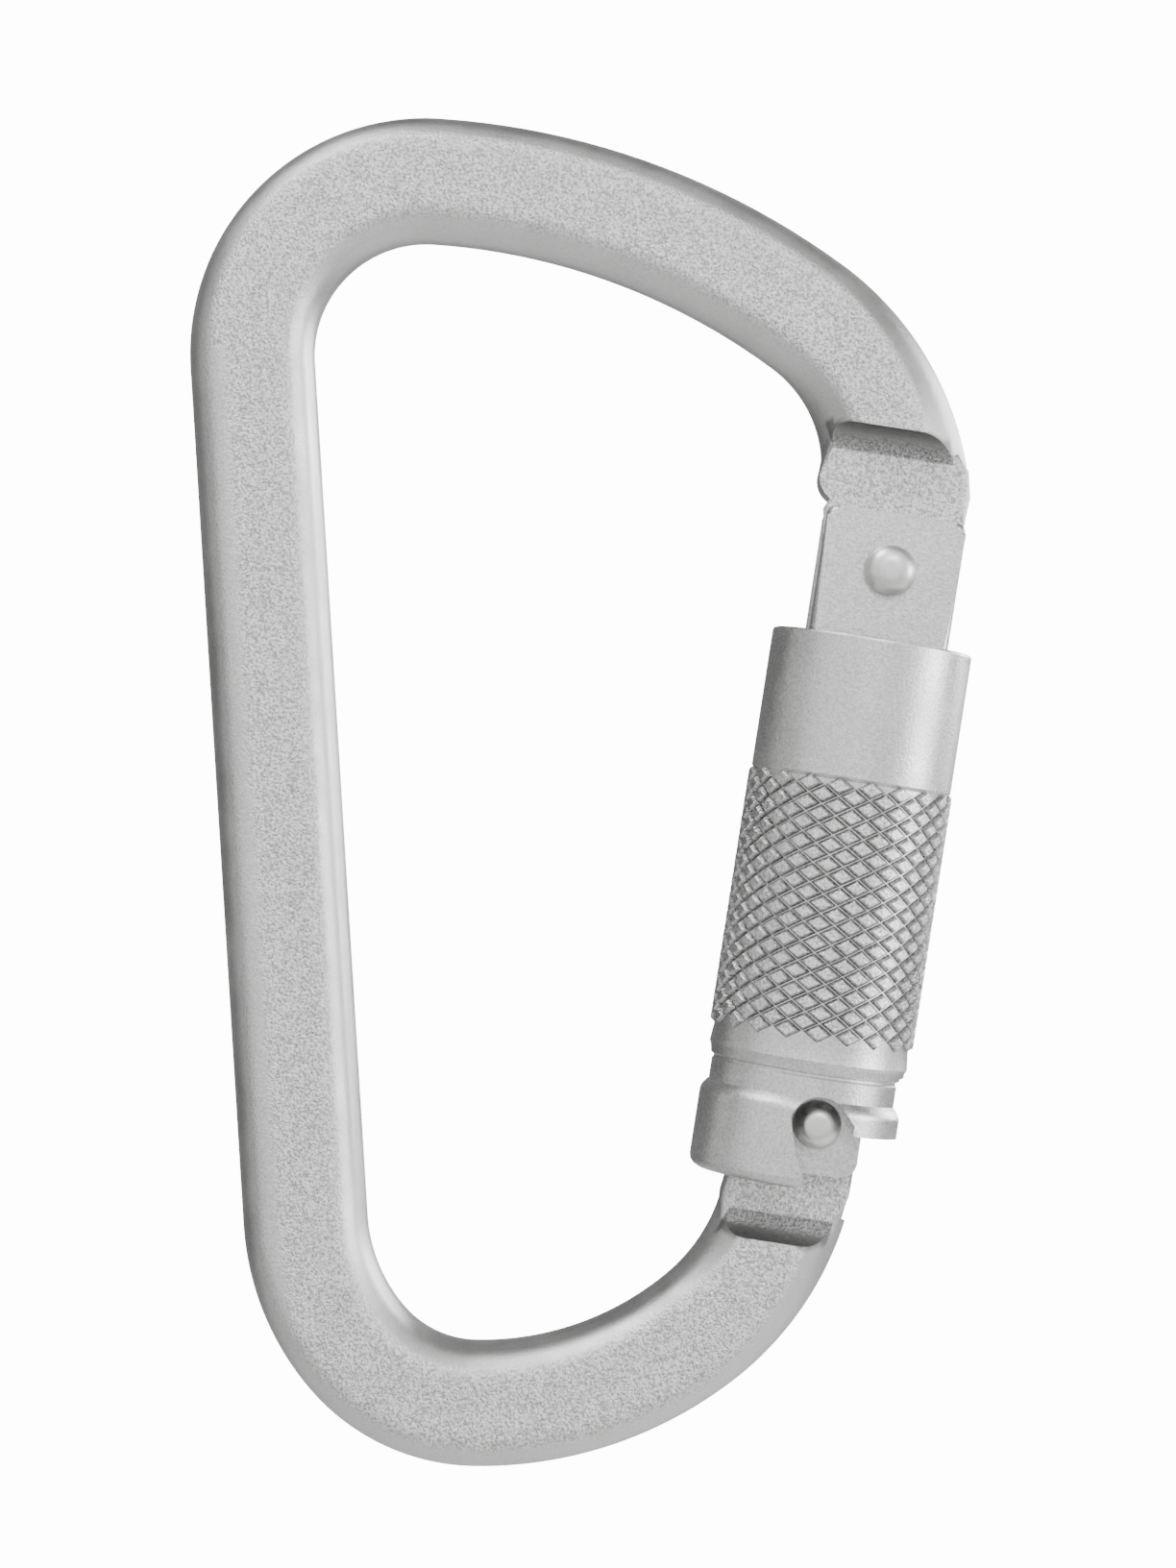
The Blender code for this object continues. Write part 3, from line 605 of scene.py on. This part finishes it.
def pinHole(spot, radius, reach=20):
    profile = [(0, reach), (radius, reach), (radius, -reach), (0, -reach)]
    return makeMesh("pinHole", crosswise(turned(profile, pins["sides"]), spot), gateMatrix)


def paint(mesh, name, values):
    attribute = mesh.attributes.new(name, "FLOAT", "POINT")
    attribute.data.foreach_set("value", values)


# How sandy the forged surface is: rough on the flats, smoother on the sides and the spine's outer strip.
sand = {"least": 0.12, "facing": (0.75, 0.97), "strip": 0.3, "stripStart": (-16.0, -8.0)}


def paintSand(mesh):
    normals = [Vector((0, 0, 0)) for _ in mesh.vertices]
    for polygon in mesh.polygons:
        for index in polygon.vertices:
            normals[index] += polygon.normal * polygon.area
    low, high = sand["facing"]
    values = []
    for vertex, normal in zip(mesh.vertices, normals):
        facing = abs(normal.normalized().y) if normal.length > 0 else 0
        share = min(1.0, max(0.0, (facing - low) / (high - low)))
        amount = sand["least"] + (1 - sand["least"]) * share
        spot = vertex.co / mm
        if spot.x < sand["stripStart"][0] and spot.z < sand["stripStart"][1]:
            amount = min(amount, sand["strip"])
        values.append(amount)
    paint(mesh, "sandy", values)


# Painted shade: the concave milled steps are marked, so that the steel is painted darker in them, standing
# in for the shade and dark reflection that fall there.
def paintStepShade(mesh):
    inverse = gateMatrix.inverted()
    reach = bar["halfThick"] - tongue["halfThick"]
    edge = 0.01
    values = []
    for vertex in mesh.vertices:
        spot = inverse @ vertex.co / mm
        between = tongue["halfThick"] + edge < abs(spot.y) < bar["halfThick"] - edge
        atHinge = 0 <= spot.z - tongue["hingeStep"] <= reach
        atNose = 0 <= latchU - tongue["noseStep"] - spot.z <= reach
        near = abs(spot.x) < 2 * bar["halfWidth"]
        values.append(1.0 if between and near and (atHinge or atNose) else 0.0)
    paint(mesh, "paintedShade", values)


frameBody = makeMesh("frameBody", barMesh())
plate = tongue["halfThick"] - tongue["plateInset"]
noseStepU = latchU - tongue["noseStep"]
lug = makeMesh("lug", bevelRims(prism(lugOutline(), -plate, plate), tongue["rim"]), gateMatrix)
hook = makeMesh("hook", bevelRims(prism(noseOutline(), -plate, plate), tongue["rim"]), gateMatrix)
carve(frameBody, [
    (makeMesh("hingeStep", stepCutter(tongue["hingeStep"], -cutReach), gateMatrix), "DIFFERENCE"),
    (makeMesh("noseStep", stepCutter(noseStepU, latchU + cutReach), gateMatrix), "DIFFERENCE"),
    (lug, "UNION"),
    (hook, "UNION"),
    (pinHole(hingePin, pins["hinge"] + pins["lugClearance"]), "DIFFERENCE"),
])
paintStepShade(frameBody.data)
paintSand(frameBody.data)
finishPiece(frameBody, "frame", "frame", forgedSteel)
print("frame", len(frameBody.data.polygons))


# Gate: collar, barrel and two forks.
gate = {
    "halfThick": 4.4,
    "hingeForkWidth": 5.75,
    "latchForkWidth": 5.1,
    "latchForkEnd": 4.1,
    "edge": 0.5,
    "slotClearance": 0.2,
    "barrelRadius": 6.0,
    "collarRadius": 7.15,
    "collarLength": 2.0,
    "collarBelowEdge": 0.8,
    "hingeSlotDepth": 6.8,
    "latchSlotEnd": 9.1,
    "hookRoom": 0.4,
    "forkRoot": 0.3,
    "hingeCorner": 0.9,
    "latchCorner": 1.3,
    "endGap": 0.2,
    "barrelRoot": 1.5,
    "rim": 0.2,
    "bore": 1.7,
    "boreDepth": 10.7,
    "plungerGap": 0.25,
    "holeClearance": 0.05,
}
sleeve = {
    "edge": 5.8,
    "plainBand": 11.6,
    "bandRadius": 8.35,
    "knurlRadius": 8.55,
    "knurlDepth": 0.4,
    "bore": 7.4,
    "neckRadius": 7.9,
    "flare": (0.5, 1.1),
    "neckBore": 6.85,
    "skirtRadius": 8.5,
    "skirtBore": 7.65,
    "neckAbovePin": 4.1,
    "skirtAbovePin": 1.7,
    "shoulderRise": 0.7,
    "shortWall": 0.35,
    "lobe": 5.15,
    "lobeFarAngle": 215.0,
    "pocketRadius": 2.5,
    "pocketSide": 2.87,
    "lobeEdgeInward": 2.15,
    "slotHalf": 2.65,
    "slotStart": 4.5,
    "slotAbovePin": 4.6,
    "cutBelow": 3,
    "sides": 160,
}
skirtU = latchU + sleeve["skirtAbovePin"]
neckU = latchU + sleeve["neckAbovePin"]
shoulderU = neckU + sleeve["shoulderRise"]


def forkBlock(halfWidth, low, high, corner, roundedLow):
    if roundedLow:
        outline = arcPoints((-halfWidth + corner, low + corner), corner, 180, 270, 8)
        outline += arcPoints((halfWidth - corner, low + corner), corner, 270, 360, 8)
        outline += [(halfWidth, high), (-halfWidth, high)]
    else:
        outline = [(-halfWidth, low), (halfWidth, low)]
        outline += arcPoints((halfWidth - corner, high - corner), corner, 0, 90, 8)
        outline += arcPoints((-halfWidth + corner, high - corner), corner, 90, 180, 8)
    return bevelRims(prism(outline, -gate["halfThick"], gate["halfThick"]), gate["edge"], 4)


def slotBlock(low, high, halfThick):
    outline = [(-cutReach, low), (cutReach, low), (cutReach, high), (-cutReach, high)]
    return makeMesh("slot", prism(outline, -halfThick, halfThick), gateMatrix)


collarTop = -sleeve["edge"] - gate["collarBelowEdge"]
collarEnd = collarTop - gate["collarLength"]
barrelEnd = shoulderU - gate["endGap"]
barrelFoot = barrelEnd - gate["barrelRoot"]
collar, barrel, rim = gate["collarRadius"], gate["barrelRadius"], gate["rim"]
profile = [(0, collarTop), (collar - rim, collarTop), (collar, collarTop - rim)]
profile += [(collar, collarEnd + rim), (collar - rim, collarEnd)]
profile += [(barrel, collarEnd), (barrel, barrelFoot), (0, barrelFoot)]
gateBody = makeMesh("gateBody", turned(profile, 96), gateMatrix)
forkFoot = collarEnd + gate["forkRoot"]
topFork = forkBlock(gate["hingeForkWidth"], forkFoot, tongue["forkTop"], gate["hingeCorner"], False)
bmesh.ops.translate(topFork, verts=topFork.verts, vec=(hingePin.x, 0, 0))
forkEnd = latchU - gate["latchForkEnd"]
endFork = forkBlock(gate["latchForkWidth"], forkEnd, barrelEnd, gate["latchCorner"], True)
slotHalf = tongue["halfThick"] + gate["slotClearance"]
hookRoom = latchU + tongue["hookTop"] + gate["hookRoom"]
plungerTop = -tongue["camRadius"] - gate["plungerGap"]
boreEnd = plungerTop - gate["boreDepth"]
bore = turned([(0, -2), (gate["bore"], -2), (gate["bore"], boreEnd), (0, boreEnd)], 48)
bmesh.ops.translate(bore, verts=bore.verts, vec=(hingePin.x, 0, 0))
carve(gateBody, [
    (makeMesh("topFork", topFork, gateMatrix), "UNION"),
    (makeMesh("endFork", endFork, gateMatrix), "UNION"),
    (slotBlock(-gate["hingeSlotDepth"], tongue["forkTop"] + 5, slotHalf), "DIFFERENCE"),
    (slotBlock(latchU - gate["latchSlotEnd"], hookRoom, slotHalf), "DIFFERENCE"),
    (makeMesh("bore", bore, gateMatrix), "DIFFERENCE"),
    (pinHole(hingePin, pins["hinge"] + gate["holeClearance"]), "DIFFERENCE"),
    (pinHole(latchPin, pins["latch"] + gate["holeClearance"]), "DIFFERENCE"),
])
finishPiece(gateBody, "gate", "gate_body", machinedSteel)
print("gate", len(gateBody.data.polygons))


# Rivets: domed heads with a small flat.
rivets = {
    "hingeRivet": {
        "spot": hingePin, "node": "hinge_rivet", "pin": pins["hinge"],
        "head": 2.15, "height": 1.6, "flat": 0.25,
    },
    "latchRivet": {
        "spot": latchPin, "node": "latch_rivet", "pin": pins["latch"],
        "head": 2.0, "height": 2.25, "flat": 0.36,
    },
}


def rivetProfile(values):
    seat = gate["halfThick"] + pins["seat"]
    rim, steps = 0.25, 12
    flat = values["flat"] * values["head"]
    half = [(0, seat + values["height"]), (flat * 0.92, seat + values["height"])]
    for i in range(1, steps + 1):
        angle = radians(90 * i / steps)
        radius = flat + (values["head"] - flat) * math.sin(angle)
        half.append((radius, seat + rim + (values["height"] - rim) * math.cos(angle)))
    half += [(values["head"], seat), (values["pin"], seat)]
    return half + [(radius, -height) for radius, height in reversed(half)]


for name, values in rivets.items():
    bm = crosswise(turned(rivetProfile(values), pins["sides"]), values["spot"])
    finishPiece(makeMesh(name, bm, gateMatrix), "gate", values["node"], rivetSteel)
print("rivets")


# Sleeve: plain band, knurl, chamfer, groove, neck and a flared skirt with its lobe and rivet pocket.
def sleeveProfile():
    top = -sleeve["edge"]
    knurlTop = top - sleeve["plainBand"]
    band, neck, skirt = sleeve["bandRadius"], sleeve["neckRadius"], sleeve["skirtRadius"]
    floor = sleeve["knurlRadius"] - sleeve["knurlDepth"]
    lobeEnd = latchU - sleeve["lobe"]
    outer = [(band - 0.3, top), (band - 0.09, top - 0.09), (band, top - 0.3), (band, knurlTop)]
    outer += [(floor, knurlTop - 0.3), (floor, shoulderU + 1.9), (band - 0.05, shoulderU + 0.5)]
    outer += [(band - 0.2, shoulderU + 0.2), (neck + 0.15, neckU + 0.3), (neck - 0.12, neckU + 0.12)]
    above, span = sleeve["flare"]
    outer += [(neck - 0.12, neckU - 0.08), (neck, neckU - 0.2), (neck, skirtU + above)]
    for i in range(1, 9):
        share = i / 8
        ease = 1 - (1 - share) ** 2
        outer.append((neck + (skirt - neck) * ease, skirtU + above - span * share))
    outer += [(skirt, lobeEnd + 0.9), (skirt - 0.1, lobeEnd + 0.5), (skirt - 0.35, lobeEnd + 0.2)]
    outer += [(skirt - 0.75, lobeEnd)]
    inner = [(sleeve["skirtBore"], lobeEnd), (sleeve["skirtBore"], skirtU - 0.6)]
    inner += [(sleeve["neckBore"], skirtU + 0.9), (sleeve["neckBore"], shoulderU)]
    inner += [(sleeve["bore"], shoulderU), (sleeve["bore"], top - 0.2), (sleeve["bore"] + 0.2, top)]
    return outer + inner


wallEnd = latchU - sleeve["shortWall"]
below = latchU - sleeve["lobe"] - sleeve["cutBelow"]


def frontCut():
    pocketSide = latchPin.x + sleeve["pocketSide"]
    outline = [(cutReach, wallEnd), (pocketSide + 0.2, wallEnd)]
    outline += [(pocketSide, wallEnd + 0.15), (pocketSide, latchU + 0.5)]
    outline += arcPoints((latchPin.x, latchU), sleeve["pocketRadius"], 40, 165, 20)
    edge = latchPin.x - sleeve["lobeEdgeInward"]
    slant = [(edge, latchU - 0.5), (edge + 0.2, latchU - 1.2), (edge + 0.55, latchU - 2.3)]
    slant += [(edge + 1.1, latchU - 3.5), (edge + 1.5, latchU - 4.3), (edge + 1.5, latchU - 4.65)]
    slant += [(edge + 1.25, latchU - 4.95), (edge + 0.8, latchU - sleeve["lobe"] - 0.02)]
    return outline + slant + [(edge + 0.8, below), (cutReach, below)]


lockSleeve = makeMesh("lockSleeve", turned(sleeveProfile(), sleeve["sides"], closed=True), gateMatrix)
farV = sleeve["skirtRadius"] * math.cos(radians(sleeve["lobeFarAngle"]))
backCut = [(cutReach, wallEnd), (farV, wallEnd), (farV - 0.5, wallEnd - 0.4), (farV - 0.8, wallEnd - 1.2)]
backCut += [(farV - 0.8, below), (cutReach, below)]
slotTop, slotStart = latchU + sleeve["slotAbovePin"], sleeve["slotStart"]
slotCut = [(slotStart, below), (cutReach, below), (cutReach, slotTop), (slotStart, slotTop)]
carve(lockSleeve, [
    (makeMesh("frontCut", prism(frontCut(), -cutReach, 0), gateMatrix), "DIFFERENCE"),
    (makeMesh("backCut", prism(backCut, 0, cutReach), gateMatrix), "DIFFERENCE"),
    (makeMesh("slotCut", prism(slotCut, -sleeve["slotHalf"], sleeve["slotHalf"]), gateMatrix), "DIFFERENCE"),
])
finishPiece(lockSleeve, "sleeve", "lock_sleeve", machinedSteel, 32)
print("sleeve", len(lockSleeve.data.polygons))


# Knurl: rhombic pads on a skewed lattice, laid out flat by nodes and wrapped round the sleeve.
knurl = {
    "starts": 20,
    "rows": 26,
    "angle": 31.0,
    "crest": 8.53,
    "grooveTop": 0.54,
    "grooveBase": 0.06,
    "rise": 0.42,
    "softening": 0.03,
    "divisions": 4,
    "unevenness": 0.12,
    "seed": 7,
}


def padMesh(columnStep, rowStep, material):
    slope = math.atan2(rowStep, columnStep / 2)
    count = knurl["divisions"]
    bm = bmesh.new()

    def grid(groove, height):
        halfX = columnStep / 2 - groove / math.sin(slope)
        halfZ = rowStep - groove / math.cos(slope)
        rows = []
        for i in range(count + 1):
            s = 2 * i / count - 1
            row = []
            for k in range(count + 1):
                t = 2 * k / count - 1
                row.append(bm.verts.new(((s + t) / 2 * halfX, height, (s - t) / 2 * halfZ)))
            rows.append(row)
        return rows

    top = grid(knurl["grooveTop"] / 2 + knurl["softening"], 0)
    shoulder = grid(knurl["grooveTop"] / 2, -knurl["softening"])
    base = grid(knurl["grooveBase"] / 2, -knurl["rise"])
    for rows in (top, base):
        for i in range(count):
            for k in range(count):
                bm.faces.new((rows[i][k], rows[i + 1][k], rows[i + 1][k + 1], rows[i][k + 1]))

    def rim(rows):
        loop = [rows[i][0] for i in range(count)] + [rows[count][k] for k in range(count)]
        loop += [rows[i][count] for i in range(count, 0, -1)] + [rows[0][k] for k in range(count, 0, -1)]
        return loop

    for first, second in ((top, shoulder), (shoulder, base)):
        a, b = rim(first), rim(second)
        for i in range(len(a)):
            j = (i + 1) % len(a)
            bm.faces.new((a[i], b[i], b[j], a[j]))
    for row in shoulder[1:-1]:
        for vert in row[1:-1]:
            bm.verts.remove(vert)
    bmesh.ops.recalc_face_normals(bm, faces=bm.faces)
    mesh = bpy.data.meshes.new("knurlPad")
    bm.to_mesh(mesh)
    bm.free()
    mesh.materials.append(material)
    return mesh


def knurlTree():
    tree = bpy.data.node_groups.new("wrapPads", "GeometryNodeTree")
    face = tree.interface
    face.new_socket("Geometry", in_out="INPUT", socket_type="NodeSocketGeometry")
    for label, kind in (
        ("Starts", "NodeSocketInt"),
        ("Rows", "NodeSocketInt"),
        ("Column step", "NodeSocketFloat"),
        ("Row step", "NodeSocketFloat"),
        ("Radius", "NodeSocketFloat"),
        ("Unevenness", "NodeSocketFloat"),
        ("Seed", "NodeSocketInt"),
        ("Material", "NodeSocketMaterial"),
    ):
        face.new_socket(label, in_out="INPUT", socket_type=kind)
    face.new_socket("Geometry", in_out="OUTPUT", socket_type="NodeSocketGeometry")
    nodes, links = tree.nodes, tree.links
    source = nodes.new("NodeGroupInput")
    result = nodes.new("NodeGroupOutput")

    def calc(operation, *values):
        return maths(tree, operation, *values)

    def vector(*values):
        node = nodes.new("ShaderNodeCombineXYZ")
        for socket, value in zip(node.inputs, values):
            feed(tree, socket, value)
        return node.outputs[0]

    starts, rows = source.outputs["Starts"], source.outputs["Rows"]
    points = nodes.new("GeometryNodePoints")
    links.new(calc("MULTIPLY", starts, rows), points.inputs["Count"])
    index = nodes.new("GeometryNodeInputIndex").outputs[0]
    row = calc("FLOOR", calc("DIVIDE", calc("ADD", index, 0.5), starts))
    column = calc("SUBTRACT", index, calc("MULTIPLY", row, starts))
    shifted = calc("ADD", column, calc("MULTIPLY", calc("MODULO", row, 2.0), 0.5))
    x = calc("MULTIPLY", shifted, source.outputs["Column step"])
    z = calc("MULTIPLY", row, source.outputs["Row step"])
    links.new(vector(x, 0.0, z), points.inputs["Position"])
    uneven = nodes.new("FunctionNodeRandomValue")
    uneven.data_type = "FLOAT"
    links.new(calc("SUBTRACT", 1.0, source.outputs["Unevenness"]), uneven.inputs[2])
    uneven.inputs[3].default_value = 1.0
    links.new(source.outputs["Seed"], uneven.inputs["Seed"])
    scale = vector(1.0, uneven.outputs[1], 1.0)
    copies = nodes.new("GeometryNodeInstanceOnPoints")
    links.new(points.outputs[0], copies.inputs["Points"])
    links.new(source.outputs["Geometry"], copies.inputs["Instance"])
    links.new(scale, copies.inputs["Scale"])
    real = nodes.new("GeometryNodeRealizeInstances")
    links.new(copies.outputs[0], real.inputs[0])
    position = nodes.new("GeometryNodeInputPosition").outputs[0]
    split = nodes.new("ShaderNodeSeparateXYZ")
    links.new(position, split.inputs[0])
    angle = calc("MULTIPLY", calc("DIVIDE", split.outputs[0], source.outputs["Radius"]), -1.0)
    reach = calc("ADD", source.outputs["Radius"], split.outputs[1])
    wrapped = vector(
        calc("MULTIPLY", reach, calc("COSINE", angle)),
        calc("MULTIPLY", reach, calc("SINE", angle)),
        split.outputs[2],
    )
    setPosition = nodes.new("GeometryNodeSetPosition")
    links.new(real.outputs[0], setPosition.inputs["Geometry"])
    links.new(wrapped, setPosition.inputs["Position"])
    setMaterial = nodes.new("GeometryNodeSetMaterial")
    links.new(setPosition.outputs[0], setMaterial.inputs["Geometry"])
    links.new(source.outputs["Material"], setMaterial.inputs["Material"])
    links.new(setMaterial.outputs[0], result.inputs[0])
    return tree


columnStep = math.tau * knurl["crest"] / knurl["starts"]
rowStep = columnStep / 2 * math.tan(radians(knurl["angle"]))
knurlBand = bpy.data.objects.new("knurlBand", padMesh(columnStep, rowStep, knurledSteel))
bpy.context.scene.collection.objects.link(knurlBand)
modifier = knurlBand.modifiers.new("wrapPads", "NODES")
modifier.node_group = knurlTree()
given = {
    "Starts": knurl["starts"],
    "Rows": knurl["rows"],
    "Column step": columnStep,
    "Row step": rowStep,
    "Radius": knurl["crest"],
    "Unevenness": knurl["unevenness"],
    "Seed": knurl["seed"],
    "Material": knurledSteel,
}
for item in modifier.node_group.interface.items_tree:
    if item.item_type == "SOCKET" and item.in_out == "INPUT" and item.name in given:
        modifier[item.identifier] = given[item.name]
bakeModifiers(knurlBand)
knurlTop = -sleeve["edge"] - sleeve["plainBand"]
knurlLow = knurlTop - knurl["rows"] * rowStep
# Painted shade: the knurl's grooves are darkened by their depth, the groove bottoms darkest.
depths = [knurl["crest"] - math.hypot(v.co.x, v.co.y) for v in knurlBand.data.vertices]
paint(knurlBand.data, "paintedShade", [min(1.0, max(0.0, depth / knurl["rise"])) for depth in depths])
knurlBand.data.transform(gateMatrix @ Matrix.Scale(mm, 4) @ Matrix.Translation((0, 0, knurlLow)))
finishPiece(knurlBand, "sleeve", None, knurledSteel, 25)
print("knurl", len(knurlBand.data.polygons))


# Inner pieces: washer, coil springs and plunger.
inside = {
    "washerInner": 6.2,
    "washerOuter": 7.15,
    "washerThick": 0.8,
    "gap": 0.15,
    "springWire": 0.4,
    "springRadius": 6.70,
    "springTurns": 7,
    "plungerRadius": 1.5,
    "plungerLength": 4.6,
    "gateSpringWire": 0.25,
    "gateSpringRadius": 1.1,
    "gateSpringLength": 5.3,
    "gateSpringTurns": 6,
    "coilSteps": 40,
    "coilSides": 12,
    "washerRim": 0.12,
    "plungerRim": 0.1,
}


def coil(name, wire, radius, bottom, top, turns, centre):
    steps, sides = inside["coilSteps"], inside["coilSides"]
    bm = bmesh.new()
    rings = []
    count = turns * steps + 1
    for i in range(count):
        share = i / (count - 1)
        angle = math.tau * turns * share
        height = bottom + wire + (top - bottom - 2 * wire) * share
        rise = (top - bottom - 2 * wire) / (math.tau * turns)
        along = Vector((-radius * math.sin(angle), radius * math.cos(angle), rise)).normalized()
        outward = Vector((math.cos(angle), math.sin(angle), 0))
        upward = outward.cross(along)
        middle = Vector((centre, 0, height)) + outward * radius
        ring = []
        for k in range(sides):
            turn = math.tau * k / sides
            ring.append(bm.verts.new(middle + wire * (outward * math.cos(turn) + upward * math.sin(turn))))
        rings.append(ring)
    for first, second in zip(rings, rings[1:]):
        for k in range(sides):
            n = (k + 1) % sides
            bm.faces.new((first[k], first[n], second[n], second[k]))
    bm.faces.new(rings[0])
    bm.faces.new(rings[-1])
    return makeMesh(name, bm, gateMatrix)


washerLow = shoulderU + inside["gap"]
washerTop = washerLow + inside["washerThick"]
washer, rim = inside["washerOuter"], inside["washerRim"]
ring = [(washer - rim, washerTop), (washer, washerTop - rim)]
ring += [(washer, washerLow + rim), (washer - rim, washerLow)]
ring += [(inside["washerInner"], washerLow), (inside["washerInner"], washerTop)]
springWasher = makeMesh("springWasher", turned(ring, 96, closed=True), gateMatrix)
finishPiece(springWasher, "sleeve_carrier", "spring_washer", springSteel)
low = washerTop + inside["gap"]
high = collarEnd - inside["gap"]
sleeveSpring = coil(
    "sleeveSpring", inside["springWire"], inside["springRadius"], low, high, inside["springTurns"], 0,
)
finishPiece(sleeveSpring, "gate", "sleeve_spring", springSteel)
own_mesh(sleeveSpring)
radius, steps = inside["plungerRadius"], 12
tip = [(0, plungerTop)]
for i in range(1, steps + 1):
    angle = radians(90 * i / steps)
    tip.append((radius * math.sin(angle), plungerTop - radius * (1 - math.cos(angle))))
foot, rim = plungerTop - inside["plungerLength"], inside["plungerRim"]
tip += [(radius, foot + rim), (radius - rim, foot), (0, foot)]
plunger = turned(tip, 48)
bmesh.ops.translate(plunger, verts=plunger.verts, vec=(hingePin.x, 0, 0))
gatePlunger = makeMesh("gatePlunger", plunger, gateMatrix)
finishPiece(gatePlunger, "plunger", "gate_plunger", springSteel)
low = foot - inside["gap"] - inside["gateSpringLength"]
high = foot - inside["gap"]
gateSpring = coil(
    "gateSpring", inside["gateSpringWire"], inside["gateSpringRadius"], low, high,
    inside["gateSpringTurns"], hingePin.x,
)
finishPiece(gateSpring, "gate", "gate_spring", springSteel)
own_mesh(gateSpring)
print("inner pieces")


# Studio: pale floor, soft lights, pale world and the camera.
studio = {
    "target": Vector((0.01128, 0, -0.04575)),
    "distance": 0.34,
    "viewHeight": 0.1305,
    "roll": 3.54,
    "floorDrop": -0.6,
    "floorRadius": 1.4,
    "floorSeen": 12.0,
    "worldSeen": 14.0,
    "worldFront": 1.5,
    "worldSide": 0.2,
    "worldBelow": 0.3,
    "lights": {  # place, size and power of each
        "rightLight": ((0.85, -0.2, -0.05), 0.4, 5),
        "topLight": ((-0.3, -0.3, 0.8), 0.4, 5),
        "frontLight": ((0.2, -0.9, 0.5), 0.3, 3),
        "backLight": ((0.75, 0.6, 0.15), 0.5, 7),
    },
}


def addFloor():
    bm = bmesh.new()
    bmesh.ops.create_circle(bm, cap_ends=True, segments=64, radius=studio["floorRadius"])
    mesh = bpy.data.meshes.new("floor")
    bm.to_mesh(mesh)
    bm.free()
    floor = bpy.data.objects.new("floor", mesh)
    floor.location.z = studio["floorDrop"]
    bpy.context.scene.collection.objects.link(floor)
    material = bpy.data.materials.new("paleFloor")
    material.use_nodes = True
    tree = material.node_tree
    shader = tree.nodes["Principled BSDF"]
    shader.inputs["Base Color"].default_value = (0.9, 0.9, 0.9, 1)
    shader.inputs["Roughness"].default_value = 0.9
    shader.inputs["Emission Color"].default_value = (1, 1, 1, 1)
    seen = tree.nodes.new("ShaderNodeLightPath").outputs["Is Camera Ray"]
    feed(tree, shader.inputs["Emission Strength"], maths(tree, "MULTIPLY", seen, studio["floorSeen"]))
    mesh.materials.append(material)
    floor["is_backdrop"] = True


def addLight(name, spot, size, power):
    data = bpy.data.lights.new(name, "AREA")
    data.shape = "DISK"
    data.size = size
    data.energy = power
    light = bpy.data.objects.new(name, data)
    light.location = studio["target"] + Vector(spot)
    light.rotation_euler = Vector(spot).to_track_quat("Z", "Y").to_euler()
    bpy.context.scene.collection.objects.link(light)


# The world lights the object mostly from the front and less from below; the camera sees it pale.
def addWorld():
    world = bpy.data.worlds.new("paleWorld")
    world.use_nodes = True
    tree = world.node_tree
    nodes, links = tree.nodes, tree.links
    direction = nodes.new("ShaderNodeTexCoord")
    parts = nodes.new("ShaderNodeSeparateXYZ")
    links.new(direction.outputs["Generated"], parts.inputs[0])
    forward = maths(tree, "MULTIPLY", parts.outputs["Y"], -1)
    glow = mapRange(tree, forward, (-0.05, 0.6), (studio["worldSide"], studio["worldFront"]), True)
    lower = mapRange(tree, parts.outputs["Z"], (-0.7, 0.1), (studio["worldBelow"], 1.0), True)
    chosen = nodes.new("ShaderNodeMix")
    chosen.inputs["B"].default_value = studio["worldSeen"]
    links.new(nodes.new("ShaderNodeLightPath").outputs["Is Camera Ray"], chosen.inputs["Factor"])
    links.new(maths(tree, "MULTIPLY", glow, lower), chosen.inputs["A"])
    background = nodes["Background"]
    background.inputs["Color"].default_value = (1, 1, 1, 1)
    links.new(chosen.outputs["Result"], background.inputs["Strength"])
    bpy.context.scene.world = world


def addCamera():
    data = bpy.data.cameras.new("camera")
    data.sensor_fit = "VERTICAL"
    data.sensor_height = 36
    data.lens = data.sensor_height * studio["distance"] / studio["viewHeight"]
    data.clip_start = 0.01
    data.dof.use_dof = False
    camera = bpy.data.objects.new("camera", data)
    roll = radians(studio["roll"])
    right = Vector((math.cos(roll), 0, -math.sin(roll)))
    up = Vector((math.sin(roll), 0, math.cos(roll)))
    back = right.cross(up)
    turn = Matrix((right, up, back)).transposed().to_4x4()
    camera.matrix_world = Matrix.Translation(studio["target"] + back * studio["distance"]) @ turn
    bpy.context.scene.collection.objects.link(camera)
    bpy.context.scene.camera = camera


addFloor()
for name, (spot, size, power) in studio["lights"].items():
    addLight(name, spot, size, power)
addWorld()
addCamera()
print("studio")
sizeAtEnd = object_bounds()


def plainList(value):
    return [plainList(item) for item in value] if hasattr(value, "__len__") else float(value)


plainList(sizeAtStart)
plainList(sizeAtEnd)
